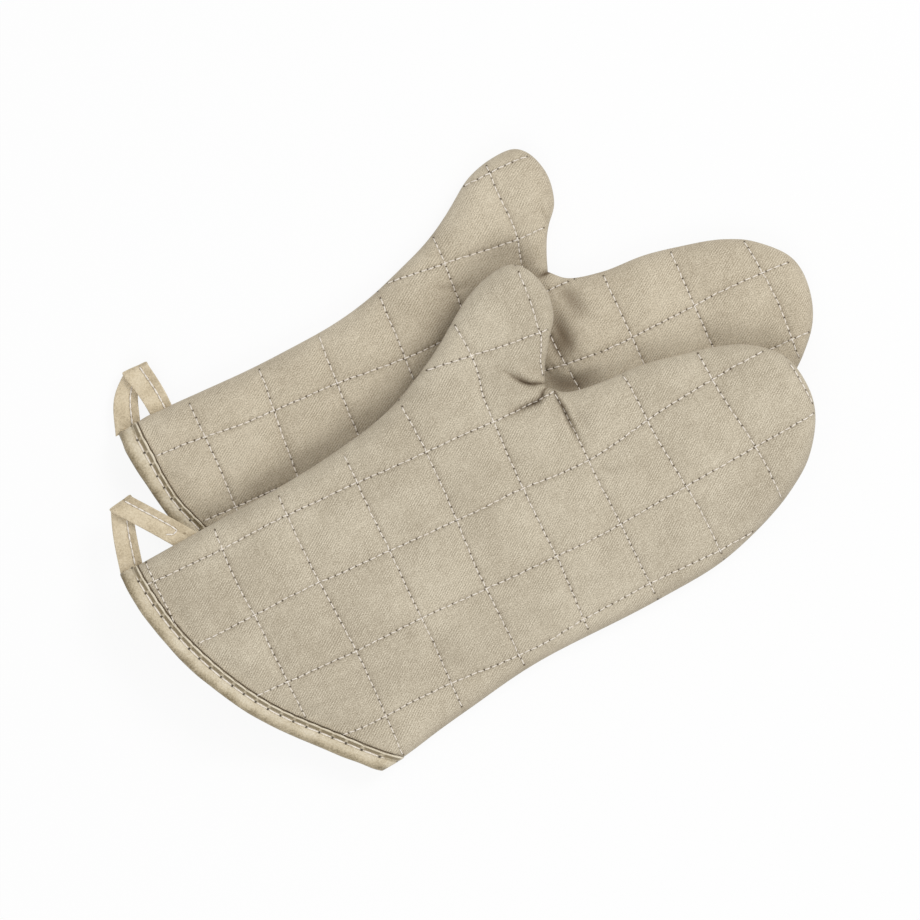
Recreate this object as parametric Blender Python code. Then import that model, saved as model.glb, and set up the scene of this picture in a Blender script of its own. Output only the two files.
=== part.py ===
"""A pair of quilted oven gloves, the front one lying over the rear one.

Each glove is an upper and a lower panel of shell cloth, batting and lining, sewn together round the
side seam, with a tape binding round the open cuff and a folded tape loop to hang it by. The panels are
cut at the fold at the thumb's root, where the cloth bends, so that the thumb can swing.

Lengths are in metres and +Z is up. A glove's own frame has +X towards the fingertips and +Y towards
the thumb. The front glove's frame is turned as the world is, and the origin is the middle of the
pair's box, on the surface that the pair lies on.
"""

import math

import bmesh
import bpy
import numpy as np
from mathutils import Vector
from mathutils.geometry import delaunay_2d_cdt

# Size of a glove
GLOVE_LENGTH = 0.376
GLOVE_WIDTH = 0.217
CUFF_BOW = 0.018

# Thickness of a glove, measured from the plane of its side seam
HAND_SPACE = 0.0036
LINING_CLOTH = 0.0006
SHELL_CLOTH = 0.0008
BATTING_AT_LINE = 0.0014
BATTING_UNDER = 0.0025
PILLOW_CROWN = 0.0030
PLY_GAP = 0.0003
RIM_WIDTH = 0.009
EDGE_SWELL = 0.0026
SHELL_AT_SEAM = 0.0010
BATTING_AT_SEAM = 0.0020

# Quilting
QUILT_PITCH = 0.040
QUILT_MARGIN = 0.007
CREASE_REACH = 0.009
CROWN_POWER = 0.6
RING_CROWN_SHARE = 0.5

# Cuff binding
BINDING_WIDTH = 0.010
BINDING_TAPE = 0.0008
BINDING_CORNER_TAPE = 0.0011
BINDING_CORNER_GAP = 0.0005
BINDING_CHAMFER = 0.0005
CUFF_COVER = 0.011

# Hanging loop
TAPE_WIDTH = 0.0125
TAPE_THICKNESS = 0.0012
LOOP_SEAT_GAP = 0.0004
LOOP_ROOT_SPREAD = 0.026
LEG_LAP = 0.0001

# Place of one glove on the other
REAR_SHIFT = (0.0253, 0.0620)
REAR_TURN = math.radians(-3.4)
STACK_GAP = 0.0003
DRAPE_MARGIN = 0.003
DRAPE_RUN = 0.049

# Fineness of the mesh
STATION_SPACING = 0.027
STATION_TURN = math.radians(27)
CUFF_SPACING = 0.022
CUT_SPACING = 0.020
SPLIT_SHARE = 0.425
CURVE_SAMPLES = 24
CUFF_SAMPLES = 96
TIGHT_RING_SHARE = 0.75
ON_LINE = 1e-6

# Outline of the cloth at the side seam, as shares of the glove's length and width. The upper edge runs
# from the cuff to the thumb's root, the thumb from there to the crotch, and the fingers back to the cuff.
UPPER_EDGE_SHARES = [
    (-0.360, 0.235),
    (-0.236, 0.250),
    (-0.105, 0.264),
    (-0.005, 0.286),
    (0.080, 0.320),
    (0.170, 0.395),
]
THUMB_SHARES = [
    (0.253, 0.491),
    (0.295, 0.517),
    (0.327, 0.519),
    (0.345, 0.494),
    (0.358, 0.430),
    (0.353, 0.361),
    (0.332, 0.310),
    (0.308, 0.248),
    (0.299, 0.210),
]
FINGER_SHARES = [
    (0.299, 0.210),
    (0.321, 0.176),
    (0.372, 0.160),
    (0.434, 0.157),
    (0.492, 0.138),
    (0.550, 0.115),
    (0.589, 0.086),
    (0.627, 0.022),
    (0.637, -0.062),
    (0.629, -0.138),
    (0.597, -0.221),
    (0.554, -0.274),
    (0.492, -0.330),
    (0.422, -0.366),
    (0.315, -0.380),
    (0.126, -0.398),
    (-0.002, -0.433),
    (-0.145, -0.475),
]

# Each glove: where its quilting starts, and the loop's tip and first root, as shares of its size
QUILT_PHASE_SHARES = {"front": (0.0, 0.0), "rear": (-0.0404, -0.0369)}
LOOP_TIP_SHARES = {"front": (-0.322, 0.399), "rear": (-0.300, 0.374)}
LOOP_ROOT_SHARES = {"front": -0.345, "rear": -0.344}

# Colours of the cloth, linear, with roughness
SHELL_FINISH = ((0.48, 0.42, 0.33), 0.85)
REAR_SHELL_FINISH = ((0.46, 0.40, 0.31), 0.85)
BATTING_FINISH = ((0.80, 0.78, 0.72), 0.95)
LINING_FINISH = ((0.66, 0.60, 0.50), 0.90)
TAPE_FINISH = ((0.62, 0.52, 0.39), 0.60)

# Heights above the seam plane, from the inside out
LINING_INNER = HAND_SPACE
LINING_OUTER = LINING_INNER + LINING_CLOTH
BATTING_INNER = LINING_OUTER + PLY_GAP
BATTING_OUTER = BATTING_INNER + BATTING_AT_LINE
SHELL_INNER = BATTING_OUTER + PLY_GAP
SHELL_OUTER = SHELL_INNER + SHELL_CLOTH
UNDER_EXTRA = BATTING_UNDER - BATTING_AT_LINE
BINDING_SEAT = SHELL_OUTER + PLY_GAP
BINDING_TOP = BINDING_SEAT + BINDING_TAPE
BINDING_LINING_SEAT = LINING_INNER - PLY_GAP
BINDING_MOUTH = BINDING_LINING_SEAT - BINDING_TAPE
SEAM_HEIGHT = max(BINDING_TOP, SHELL_OUTER + UNDER_EXTRA)

# How far the plies stop short of the side seam's edge
SHELL_INNER_INSET = SHELL_AT_SEAM
BATTING_OUTER_INSET = SHELL_INNER_INSET + PLY_GAP
BATTING_INNER_INSET = BATTING_OUTER_INSET + BATTING_AT_SEAM
LINING_OUTER_INSET = BATTING_INNER_INSET + PLY_GAP
LINING_INNER_INSET = LINING_OUTER_INSET + LINING_CLOTH


def clear_scene():
    for item in list(bpy.data.objects):
        bpy.data.objects.remove(item, do_unlink=True)


def cloth_material(name, finish):
    colour, roughness = finish
    material = bpy.data.materials.new(name)
    material.use_nodes = True
    shader = material.node_tree.nodes["Principled BSDF"]
    shader.inputs["Base Color"].default_value = (*colour, 1.0)
    shader.inputs["Roughness"].default_value = roughness
    shader.inputs["Metallic"].default_value = 0.0
    material.diffuse_color = (*colour, 1.0)
    return material


def scaled(shares):
    """Outline shares as places in the glove's frame."""
    return np.array(shares) * (GLOVE_LENGTH, GLOVE_WIDTH)


def unit(vectors):
    return vectors / np.linalg.norm(vectors, axis=-1, keepdims=True)


def ease(share):
    """A smooth step from 0 to 1."""
    share = np.clip(share, 0, 1)
    return share * share * (3 - 2 * share)


def smooth_curve(points):
    """A centripetal Catmull-Rom curve through the points, closely sampled."""
    guide = np.vstack([2 * points[0] - points[1], points, 2 * points[-1] - points[-2]])
    steps = np.linalg.norm(np.diff(guide, axis=0), axis=1) ** 0.5
    knots = np.concatenate([[0], np.cumsum(steps)])
    curve = []
    for i in range(1, len(guide) - 2):
        p0, p1, p2, p3 = guide[i - 1 : i + 3]
        t0, t1, t2, t3 = knots[i - 1 : i + 3]
        t = np.linspace(t1, t2, CURVE_SAMPLES, endpoint=False)[:, None]
        a1 = ((t1 - t) * p0 + (t - t0) * p1) / (t1 - t0)
        a2 = ((t2 - t) * p1 + (t - t1) * p2) / (t2 - t1)
        a3 = ((t3 - t) * p2 + (t - t2) * p3) / (t3 - t2)
        b1 = ((t2 - t) * a1 + (t - t0) * a2) / (t2 - t0)
        b2 = ((t3 - t) * a2 + (t - t1) * a3) / (t3 - t1)
        curve.append(((t2 - t) * b1 + (t - t1) * b2) / (t2 - t1))
    curve.append(points[-1][None])
    return np.vstack(curve)


class Edge:
    """A stretch of outline that can be read by the distance along it, with the glove on its right."""

    def __init__(self, points):
        self.points = points
        self.reach = np.concatenate([[0], np.cumsum(np.linalg.norm(np.diff(points, axis=0), axis=1))])
        self.length = self.reach[-1]
        heading = unit(np.diff(points, axis=0))
        turn = np.arctan2(
            heading[:-1, 0] * heading[1:, 1] - heading[:-1, 1] * heading[1:, 0],
            (heading[:-1] * heading[1:]).sum(1),
        )
        self.turned = np.concatenate([[0], np.cumsum(turn), [turn.sum()]])
        self.bent = np.concatenate([[0], np.cumsum(np.abs(turn)), [np.abs(turn).sum()]])
        self.first_angle = math.atan2(heading[0, 1], heading[0, 0])

    def place(self, distance):
        return np.stack([np.interp(distance, self.reach, self.points[:, k]) for k in (0, 1)], axis=-1)

    def inward(self, distance):
        angle = self.first_angle + np.interp(distance, self.reach, self.turned)
        return np.stack([np.sin(angle), -np.cos(angle)], axis=-1)

    def radius(self, distance):
        """Radius of the bend at each distance, large where the edge is straight or bends outwards."""
        ahead = np.interp(distance + RIM_WIDTH / 2, self.reach, self.turned)
        behind = np.interp(distance - RIM_WIDTH / 2, self.reach, self.turned)
        return RIM_WIDTH / np.maximum(behind - ahead, RIM_WIDTH / GLOVE_LENGTH)

    def stations(self, stops):
        """Distances along the edge, closer where it bends, with each stop among them."""
        effort = self.reach / STATION_SPACING + self.bent / STATION_TURN
        found = [np.array([stops[0]])]
        for start, stop in zip(stops, stops[1:]):
            first, last = np.interp([start, stop], self.reach, effort)
            count = max(1, math.ceil(last - first))
            found.append(np.interp(np.linspace(first, last, count + 1)[1:], effort, self.reach))
        return np.concatenate(found)


def signed_distance(places, polygon):
    """Distance of each place inside a closed polygon, negative outside it."""
    start = polygon
    run = np.roll(polygon, -1, axis=0) - start
    away = places[:, None] - start[None]
    along = np.clip((away * run).sum(-1) / (run * run).sum(-1), 0, 1)
    nearest = np.linalg.norm(away - along[..., None] * run, axis=-1).min(1)
    upward = (start[:, 1] > places[:, None, 1]) != ((start + run)[:, 1] > places[:, None, 1])
    with np.errstate(divide="ignore", invalid="ignore"):
        crossing = start[:, 0] + run[:, 0] * (places[:, None, 1] - start[:, 1]) / run[:, 1]
    inside = (upward & (places[:, None, 0] < crossing)).sum(1) % 2 == 1
    return np.where(inside, nearest, -nearest)


def cuff_arc(upper_corner, lower_corner):
    """The bowed cuff edge, from the upper corner to the lower one."""
    chord = upper_corner - lower_corner
    span = np.linalg.norm(chord)
    radius = span * span / (8 * CUFF_BOW) + CUFF_BOW / 2
    half_angle = math.asin(span / 2 / radius)
    along = chord / span
    outward = np.array([-along[1], along[0]])
    centre = (upper_corner + lower_corner) / 2 + outward * (CUFF_BOW - radius)
    angles = np.linspace(half_angle, -half_angle, CUFF_SAMPLES)
    return centre + radius * (np.outer(np.cos(angles), outward) + np.outer(np.sin(angles), along))


class Outline:
    """The plan of a glove: its side seam, the ring inside it, its cuff and the fold at the thumb's root."""

    def __init__(self):
        upper = scaled(UPPER_EDGE_SHARES + THUMB_SHARES)
        lower = scaled(FINGER_SHARES)
        thumb_side = Edge(smooth_curve(upper))
        finger_side = Edge(smooth_curve(lower))
        root = thumb_side.reach[(len(UPPER_EDGE_SHARES) - 1) * CURVE_SAMPLES]
        thumb_stations = thumb_side.stations([0, CUFF_COVER, root, thumb_side.length])
        finger_stations = finger_side.stations([0, finger_side.length - CUFF_COVER, finger_side.length])
        finger_stations = finger_stations[1:]
        self.seam = np.vstack([thumb_side.place(thumb_stations), finger_side.place(finger_stations)])
        self.inset = np.vstack([thumb_side.inward(thumb_stations), finger_side.inward(finger_stations)])
        bend = np.concatenate([thumb_side.radius(thumb_stations), finger_side.radius(finger_stations)])
        self.root = int(np.argmin(np.abs(thumb_stations - root)))
        self.crotch = len(thumb_stations) - 1
        self.dense = np.vstack([thumb_side.points, finger_side.points[1:]])

        # The cuff, with the ends of the ring on it
        arc = Edge(cuff_arc(self.seam[0], self.seam[-1]))
        count = math.ceil((arc.length - 2 * RIM_WIDTH) / CUFF_SPACING)
        marks = np.linspace(RIM_WIDTH, arc.length - RIM_WIDTH, count + 1)
        marks = np.concatenate([[0], marks, [arc.length]])
        self.cuff = arc.place(marks)
        into_glove = -arc.inward(marks)

        # The fold at the thumb's root is one straight line from seam to seam
        self.fold = unit(self.seam[self.root] - self.seam[self.crotch])
        self.inset[self.crotch] = self.fold
        self.inset[self.root] = -self.fold
        self.inset[0] = unit(self.cuff[1] - self.cuff[0])
        self.inset[-1] = unit(self.cuff[-2] - self.cuff[-1])
        depth = np.minimum(RIM_WIDTH, TIGHT_RING_SHARE * bend)
        depth[[0, self.root, self.crotch, -1]] = RIM_WIDTH
        self.ring = self.seam + self.inset * depth[:, None]
        self.cover = self.cuff + into_glove * CUFF_COVER
        self.cover[[0, 1, -2, -1]] = [self.seam[1], self.ring[1], self.ring[-2], self.seam[-2]]
        self.fold_normal = np.array([self.fold[1], -self.fold[0]])
        if np.dot(self.seam[(self.root + self.crotch) // 2] - self.seam[self.root], self.fold_normal) < 0:
            self.fold_normal = -self.fold_normal

    def thumb_polygon(self):
        return self.seam[self.root : self.crotch + 1]

    def fold_distance(self, places):
        """Distance of each place from the fold, measured square to it and past its ends."""
        start = self.seam[self.crotch]
        run = self.seam[self.root] - start
        along = np.clip(((places - start) * run).sum(-1) / (run * run).sum(), 0, 1)
        return np.linalg.norm(places - start - along[..., None] * run, axis=-1)


def quilt_phase(glove):
    return scaled(QUILT_PHASE_SHARES[glove])


def quilt_places(outline, inner, phase):
    """Crossings and middles of the quilt squares inside the ring, and the lines that join crossings."""
    half = math.ceil(max(GLOVE_LENGTH, GLOVE_WIDTH) / QUILT_PITCH)
    steps = np.arange(-half, half + 1)
    grid = np.stack(np.meshgrid(steps, steps, indexing="ij"), axis=-1).reshape(-1, 2)
    found = []
    numbers = {}
    for offset in (0.0, 0.5):
        places = phase + (grid + offset) * QUILT_PITCH
        clear = signed_distance(places, inner) > QUILT_MARGIN
        clear &= outline.fold_distance(places) > QUILT_MARGIN
        for cell, place in zip(grid[clear], places[clear]):
            if offset == 0:
                numbers[tuple(cell)] = len(found)
            found.append(place)
    lines = []
    for (i, j), number in numbers.items():
        for neighbour in ((i + 1, j), (i, j + 1)):
            if neighbour in numbers:
                lines.append((number, numbers[neighbour]))
    return np.array(found), lines


class Pattern:
    """The corners and triangles that every ply of a glove shares, so that plies lie on each other."""

    def __init__(self, outline, phase):
        self.outline = outline
        self.phase = phase
        seam, ring, cuff, cover = outline.seam, outline.ring, outline.cuff, outline.cover
        inner = np.vstack([ring[1:-1], cover[2:-2][::-1]])
        count = max(2, math.ceil(np.linalg.norm(ring[outline.root] - ring[outline.crotch]) / CUT_SPACING))
        shares = np.linspace(0, 1, count + 1)[1:-1, None]
        cut = ring[outline.root] * (1 - shares) + ring[outline.crotch] * shares
        quilt, lines = quilt_places(outline, inner, phase)

        given = np.vstack([inner, cut, quilt])
        first_cut = len(inner)
        first_quilt = first_cut + len(cut)
        path = [outline.root - 1, *range(first_cut, first_quilt), outline.crotch - 1]
        constraints = list(zip(path, path[1:]))
        constraints += [(a + first_quilt, b + first_quilt) for a, b in lines]
        polygon = list(range(len(inner)))[::-1]
        result = delaunay_2d_cdt([Vector(place) for place in given], constraints, [polygon], 1, ON_LINE)
        made, faces, sources = result[0], result[2], result[3]

        # Corners: the side seam, then the inner area, then what is left of the ring and the cuff
        places = [*seam]
        base = len(places)
        number_of = {}
        for index, source in enumerate(sources):
            places.append(given[source[0]] if source else np.array(made[index]))
            for original in source:
                number_of[original] = base + index
        ring_numbers = [None] * len(ring)
        for k in range(1, len(ring) - 1):
            ring_numbers[k] = number_of[k - 1]
        ring_numbers[0] = len(places)
        places.append(ring[0])
        ring_numbers[-1] = len(places)
        places.append(ring[-1])
        cuff_numbers = [0, ring_numbers[0]]
        cover_numbers = [1, ring_numbers[1]]
        cover_first = len(ring) - 2
        cover_count = len(cover) - 4
        for k in range(cover_count):
            cuff_numbers.append(len(places))
            places.append(cuff[k + 2])
            cover_numbers.append(number_of[cover_first + cover_count - 1 - k])
        cuff_numbers += [ring_numbers[-1], len(seam) - 1]
        cover_numbers += [ring_numbers[-2], len(seam) - 2]
        self.cuff_numbers = cuff_numbers
        self.cover_numbers = cover_numbers
        self.places = np.array(places)

        triangles = [[base + corner for corner in face] for face in faces]
        for j in range(1, len(seam) - 2):
            triangles += self.two_triangles(j, j + 1, ring_numbers[j + 1], ring_numbers[j])
        for k in range(len(cuff_numbers) - 1):
            triangles += self.two_triangles(
                cuff_numbers[k], cuff_numbers[k + 1], cover_numbers[k + 1], cover_numbers[k]
            )
        self.triangles = [self.upward(triangle) for triangle in triangles]

        # What each corner is
        total = len(self.places)
        self.inset = np.zeros((total, 2))
        self.inset[: len(seam)] = outline.inset
        self.on_seam = np.zeros(total, bool)
        self.on_seam[: len(seam)] = True
        self.on_ring = np.zeros(total, bool)
        self.on_ring[ring_numbers] = True
        self.on_ring[cover_numbers] = True
        self.bound = np.zeros(total, bool)
        self.bound[cuff_numbers + cover_numbers] = True
        self.on_fold = outline.fold_distance(self.places) < ON_LINE
        self.split_long_edges()

    def two_triangles(self, a, b, c, d):
        return [[a, b, c], [a, c, d]]

    def upward(self, triangle):
        a, b, c = self.places[triangle]
        turn = (b[0] - a[0]) * (c[1] - a[1]) - (b[1] - a[1]) * (c[0] - a[0])
        return tuple(triangle) if turn > 0 else tuple(triangle[::-1])

    def in_thumb(self):
        middles = self.places[np.array(self.triangles)].mean(1)
        return signed_distance(middles, self.outline.thumb_polygon()) > 0

    def split_long_edges(self):
        """Puts a middle corner on long edges and on those across the rounded rim, for the quilted plies."""
        thumb = self.in_thumb()
        sides = {}
        for index, (a, b, c) in enumerate(self.triangles):
            for edge in ((a, b), (b, c), (c, a)):
                sides.setdefault(tuple(sorted(edge)), []).append(thumb[index])
        self.middles = {}
        pairs = []
        for (a, b), found in sides.items():
            if len(found) < 2 or found[0] != found[1]:
                continue
            length = np.linalg.norm(self.places[a] - self.places[b])
            across_rim = self.on_seam[a] != self.on_seam[b] and not (self.bound[a] and self.bound[b])
            if across_rim or (length > SPLIT_SHARE * QUILT_PITCH and not (self.bound[a] and self.bound[b])):
                self.middles[(a, b)] = len(self.places) + len(pairs)
                pairs.append((a, b))
        self.pairs = np.array(pairs)

    def middle(self, a, b):
        return self.middles.get((a, b) if a < b else (b, a))

    def split(self, triangle):
        a, b, c = triangle
        marks = [self.middle(a, b), self.middle(b, c), self.middle(c, a)]
        count = sum(mark is not None for mark in marks)
        if count == 0:
            return [triangle]
        while marks[0] is None or (count == 2 and marks[1] is None):
            a, b, c = b, c, a
            marks = marks[1:] + marks[:1]
        ab, bc, ca = marks
        if count == 1:
            return [(a, ab, c), (ab, b, c)]
        if count == 2:
            return [(a, ab, c), (ab, bc, c), (ab, b, bc)]
        return [(a, ab, ca), (ab, b, bc), (ca, bc, c), (ab, bc, ca)]

    def puff(self):
        """How far each corner of a quilted ply stands above its flat place."""
        both = np.vstack([self.places, self.places[self.pairs].mean(1)])
        waves = np.abs(np.sin(np.pi * (both - self.phase) / QUILT_PITCH)).prod(1)
        crown = PILLOW_CROWN * waves**CROWN_POWER
        crown *= ease(self.outline.fold_distance(both) / CREASE_REACH)
        count = len(self.places)
        crown[:count][self.on_ring] *= RING_CROWN_SHARE
        crown[:count][self.on_seam | self.bound] = 0
        first, second = self.pairs.T
        across = self.on_seam[first] != self.on_seam[second]
        swell = np.where(self.on_fold[first] | self.on_fold[second], 0, EDGE_SWELL)
        crown[count:] = np.where(across, swell, crown[count:])
        near_cuff = self.bound[first] | self.bound[second]
        crown[count:][near_cuff & ~across] *= RING_CROWN_SHARE
        return crown


class Glove:
    """One glove of the pair: its pattern, the height that it lies at, and the pieces made on them."""

    def __init__(self, name, outline, rise, finishes):
        self.name = name
        self.outline = outline
        self.pattern = Pattern(outline, quilt_phase(name))
        self.rise = rise
        self.finishes = finishes
        self.puff = self.pattern.puff()

    def surface(self, height, under_height, rim_inset, side, shift, puffed):
        """Places of every corner of one face of a ply, on the upper side (1) or the lower side (-1)."""
        pattern = self.pattern
        flat = pattern.places + pattern.inset * rim_inset
        flat = flat + np.outer(pattern.on_fold, self.outline.fold_normal) * shift
        level = np.where(pattern.bound, height, under_height)
        level = np.where(pattern.on_seam, PLY_GAP / 2, level)
        tall = SEAM_HEIGHT + self.rise(pattern.places) + side * level
        corners = np.column_stack([flat, tall])
        first, second = pattern.pairs.T
        corners = np.vstack([corners, (corners[first] + corners[second]) / 2])
        if puffed:
            corners[:, 2] += side * self.puff
        return corners

    def ply(self, name, part, side, faces, material):
        """One ply of a panel: a closed sheet between its outer and its inner face."""
        pattern = self.pattern
        thumb = pattern.in_thumb()
        wanted = thumb if part == "thumb" else ~thumb
        shift = (PLY_GAP / 2) * (1 if part == "thumb" else -1)
        coarse = [t for t, keep in zip(pattern.triangles, wanted) if keep]
        fine = [piece for t in coarse for piece in pattern.split(t)]
        outer_face, inner_face = faces
        outer = self.surface(*outer_face[:3], side, shift, outer_face[3])
        inner = self.surface(*inner_face[:3], side, shift, inner_face[3])
        outer_triangles = fine if outer_face[3] else coarse
        inner_triangles = fine if inner_face[3] else coarse
        if side > 0:
            top, top_triangles, bottom, bottom_triangles = outer, outer_triangles, inner, inner_triangles
        else:
            top, top_triangles, bottom, bottom_triangles = inner, inner_triangles, outer, outer_triangles
        return sheet_object(name, top, top_triangles, bottom, bottom_triangles, coarse, material)


def sheet_object(name, top, top_triangles, bottom, bottom_triangles, plan, material):
    """A closed body between two faces that have the same border."""
    corners = []
    faces = []
    numbers = {}

    def corner(layer, source, index):
        key = (layer, index)
        if key not in numbers:
            numbers[key] = len(corners)
            corners.append(source[index])
        return numbers[key]

    for triangle in top_triangles:
        faces.append([corner("top", top, k) for k in triangle])
    for triangle in bottom_triangles:
        faces.append([corner("bottom", bottom, k) for k in triangle[::-1]])
    edges = {(a, b) for t in plan for a, b in zip(t, t[1:] + t[:1])}
    for a, b in sorted(edges):
        if (b, a) not in edges:
            top_a, top_b = corner("top", top, a), corner("top", top, b)
            bottom_a, bottom_b = corner("bottom", bottom, a), corner("bottom", bottom, b)
            faces.append([top_b, top_a, bottom_a])
            faces.append([top_b, bottom_a, bottom_b])
    return mesh_object(name, corners, faces, material)


def mesh_object(name, corners, faces, material):
    mesh = bpy.data.meshes.new(name)
    mesh.from_pydata([tuple(place) for place in corners], [], faces)
    mesh.update()
    mesh.materials.append(material)
    item = bpy.data.objects.new(name, mesh)
    bpy.context.collection.objects.link(item)
    return item


def binding_object(glove, name, material):
    """The tape round the cuff: a channel that folds over the cut edge of both panels, all round the mouth."""
    pattern = glove.pattern
    edge = pattern.places[pattern.cuff_numbers]
    cover = pattern.places[pattern.cover_numbers]
    inset = pattern.inset[pattern.cuff_numbers]
    cover_inset = pattern.inset[pattern.cover_numbers]
    rise = glove.rise(edge)
    cover_rise = glove.rise(cover)
    last = len(edge) - 1
    around = [(k, 1) for k in range(last + 1)] + [(k, -1) for k in range(last - 1, 0, -1)]

    def place(k, side, depth, height, corner_offset):
        """A place at this depth in from the cloth's edge, at a height, or off the seam at a corner."""
        share = depth / CUFF_COVER
        flat = edge[k] + (cover[k] - edge[k]) * share
        lift = max(0, rise[k] + (cover_rise[k] - rise[k]) * share)
        if k in (0, last):
            flat = flat + unit(inset[k] * (1 - share) + cover_inset[k] * share) * corner_offset
            return np.array([*flat, SEAM_HEIGHT + lift])
        return np.array([*flat, SEAM_HEIGHT + lift + side * height])

    outer_face = -(BINDING_CORNER_GAP + BINDING_CORNER_TAPE)
    outer_seat = -BINDING_CORNER_GAP
    inner_seat = LINING_INNER_INSET + BINDING_CORNER_GAP
    inner_face = inner_seat + BINDING_CORNER_TAPE
    outer_chamfer = outer_face + BINDING_CHAMFER
    inner_chamfer = inner_face - BINDING_CHAMFER
    hem = -(PLY_GAP + BINDING_TAPE)
    section = [
        (BINDING_WIDTH, BINDING_TOP, outer_face),
        (hem + BINDING_CHAMFER, BINDING_TOP, outer_face),
        (hem, BINDING_TOP - BINDING_CHAMFER, outer_chamfer),
        (hem, BINDING_MOUTH + BINDING_CHAMFER, inner_chamfer),
        (hem + BINDING_CHAMFER, BINDING_MOUTH, inner_face),
        (BINDING_WIDTH, BINDING_MOUTH, inner_face),
        (BINDING_WIDTH, BINDING_LINING_SEAT, inner_seat),
        (-PLY_GAP, BINDING_LINING_SEAT, inner_seat),
        (-PLY_GAP, BINDING_SEAT, outer_seat),
        (BINDING_WIDTH, BINDING_SEAT, outer_seat),
    ]
    corners = [place(k, side, *point) for k, side in around for point in section]
    count = len(section)
    faces = []
    for station, (k, _) in enumerate(around):
        here = station * count
        there = (station + 1) % len(around) * count
        forward = around[(station + 1) % len(around)][0] > k
        for i in range(count):
            j = (i + 1) % count
            towards_edge = section[j][0] < section[i][0]
            if towards_edge == forward:
                faces.append([here + i, here + j, there + i])
                faces.append([here + j, there + j, there + i])
            else:
                faces.append([here + i, here + j, there + j])
                faces.append([here + i, there + j, there + i])
    item = mesh_object(name, corners, faces, material)
    face_outwards(item)
    return item


def face_outwards(item):
    work = bmesh.new()
    work.from_mesh(item.data)
    bmesh.ops.recalc_face_normals(work, faces=work.faces)
    work.to_mesh(item.data)
    work.free()


def crossing_of(start, along, other_start, other_along):
    """Where two lines in the plane cross."""
    steps = np.linalg.solve(np.column_stack([along, -other_along]), other_start - start)
    return start + along * steps[0]


def prism_object(name, outline, low, high, material):
    """An upright solid on a plan outline that runs anticlockwise."""
    count = len(outline)
    corners = [(*place, low) for place in outline] + [(*place, high) for place in outline]
    faces = [list(range(count))[::-1], list(range(count, 2 * count))]
    faces += [[k, (k + 1) % count, count + (k + 1) % count, count + k] for k in range(count)]
    item = mesh_object(name, corners, faces, material)
    face_outwards(item)
    return item


def loop_object(glove, name, material):
    """The hanging loop: a tape folded flat at its tip, with both legs sewn in at the upper edge.

    Its frame has +X along the seam from the first leg to the second and +Y away from the glove. The
    first leg lies under the second, and the top of the second is in the plane of the swing's axis.
    """
    axis_start, along, outward = loop_axis(glove)
    tip = scaled(LOOP_TIP_SHARES[glove.name]) - axis_start
    tip = np.array([tip @ along, tip @ outward])
    first_root = np.array([0, 0])
    second_root = np.array([LOOP_ROOT_SPREAD, 0])
    rising = unit(tip - first_root)
    falling = unit(second_root - tip)
    fold = unit(rising + falling)
    half = TAPE_WIDTH / 2

    def left_of(heading):
        return np.array([-heading[1], heading[0]])

    root_line = np.array([1, 0])
    second_line = np.array([0, LOOP_SEAT_GAP - binding_reach()])
    first_left = crossing_of(first_root + left_of(rising) * half, rising, first_root, root_line)
    first_right = crossing_of(first_root - left_of(rising) * half, rising, first_root, root_line)
    fold_left = crossing_of(first_left, rising, tip, fold)
    fold_right = crossing_of(first_right, rising, tip, fold)
    second_left = crossing_of(second_root + left_of(falling) * half, falling, second_line, root_line)
    second_right = crossing_of(second_root - left_of(falling) * half, falling, second_line, root_line)
    lower_leg = [first_left, first_right, fold_right, fold_left]
    upper_leg = [second_right, second_left, fold_right, fold_left]
    item = prism_object(name, lower_leg, -2 * TAPE_THICKNESS, -TAPE_THICKNESS + LEG_LAP, material)
    other = prism_object(name + "_second_leg", upper_leg, -TAPE_THICKNESS, 0, material)
    other.hide_render = True
    other.display_type = "WIRE"
    joined = item.modifiers.new("second leg", "BOOLEAN")
    joined.operation = "UNION"
    joined.object = other
    return item, other


def binding_reach():
    """How far the tape's root line stands off the side seam, to clear the binding's end."""
    return BINDING_CORNER_GAP + BINDING_CORNER_TAPE + LOOP_SEAT_GAP


def loop_axis(glove):
    """Start and direction of the line that the loop swings on, beside the seam, and the way out from it."""
    seam = glove.outline.dense
    first_x = LOOP_ROOT_SHARES[glove.name] * GLOVE_LENGTH
    reach = first_x + LOOP_ROOT_SPREAD
    upper = seam[: len(UPPER_EDGE_SHARES) * CURVE_SAMPLES // 2]
    start = np.array([first_x, np.interp(first_x, upper[:, 0], upper[:, 1])])
    end = np.array([reach, np.interp(reach, upper[:, 0], upper[:, 1])])
    along = unit(end - start)
    outward = np.array([-along[1], along[0]])
    return start + outward * binding_reach(), along, outward


def frame_object(name, place, turn, parent):
    """An empty that carries pieces which move together, on their joint's axis."""
    item = bpy.data.objects.new(name, None)
    bpy.context.collection.objects.link(item)
    item.parent = parent
    item.location = place
    item.rotation_euler = (0, 0, turn)
    return item


def hang_on(item, parent, origin):
    """Parents a piece to a frame at this place of the glove, and moves its mesh so that it stays put."""
    item.parent = parent
    for vertex in item.data.vertices:
        vertex.co -= Vector(origin)


def ply_faces(kind, side):
    """The outer and inner face of a ply: height under the binding, height elsewhere, inset, quilted."""
    quilted = side > 0
    extra = 0 if quilted else UNDER_EXTRA
    if kind == "shell":
        return (
            (SHELL_OUTER, SHELL_OUTER + extra, 0, quilted),
            (SHELL_INNER, SHELL_INNER + extra, SHELL_INNER_INSET, quilted),
        )
    if kind == "batting":
        return (
            (BATTING_OUTER, BATTING_OUTER + extra, BATTING_OUTER_INSET, quilted),
            (BATTING_INNER, BATTING_INNER, BATTING_INNER_INSET, False),
        )
    return (
        (LINING_OUTER, LINING_OUTER, LINING_OUTER_INSET, False),
        (LINING_INNER, LINING_INNER, LINING_INNER_INSET, False),
    )


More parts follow.
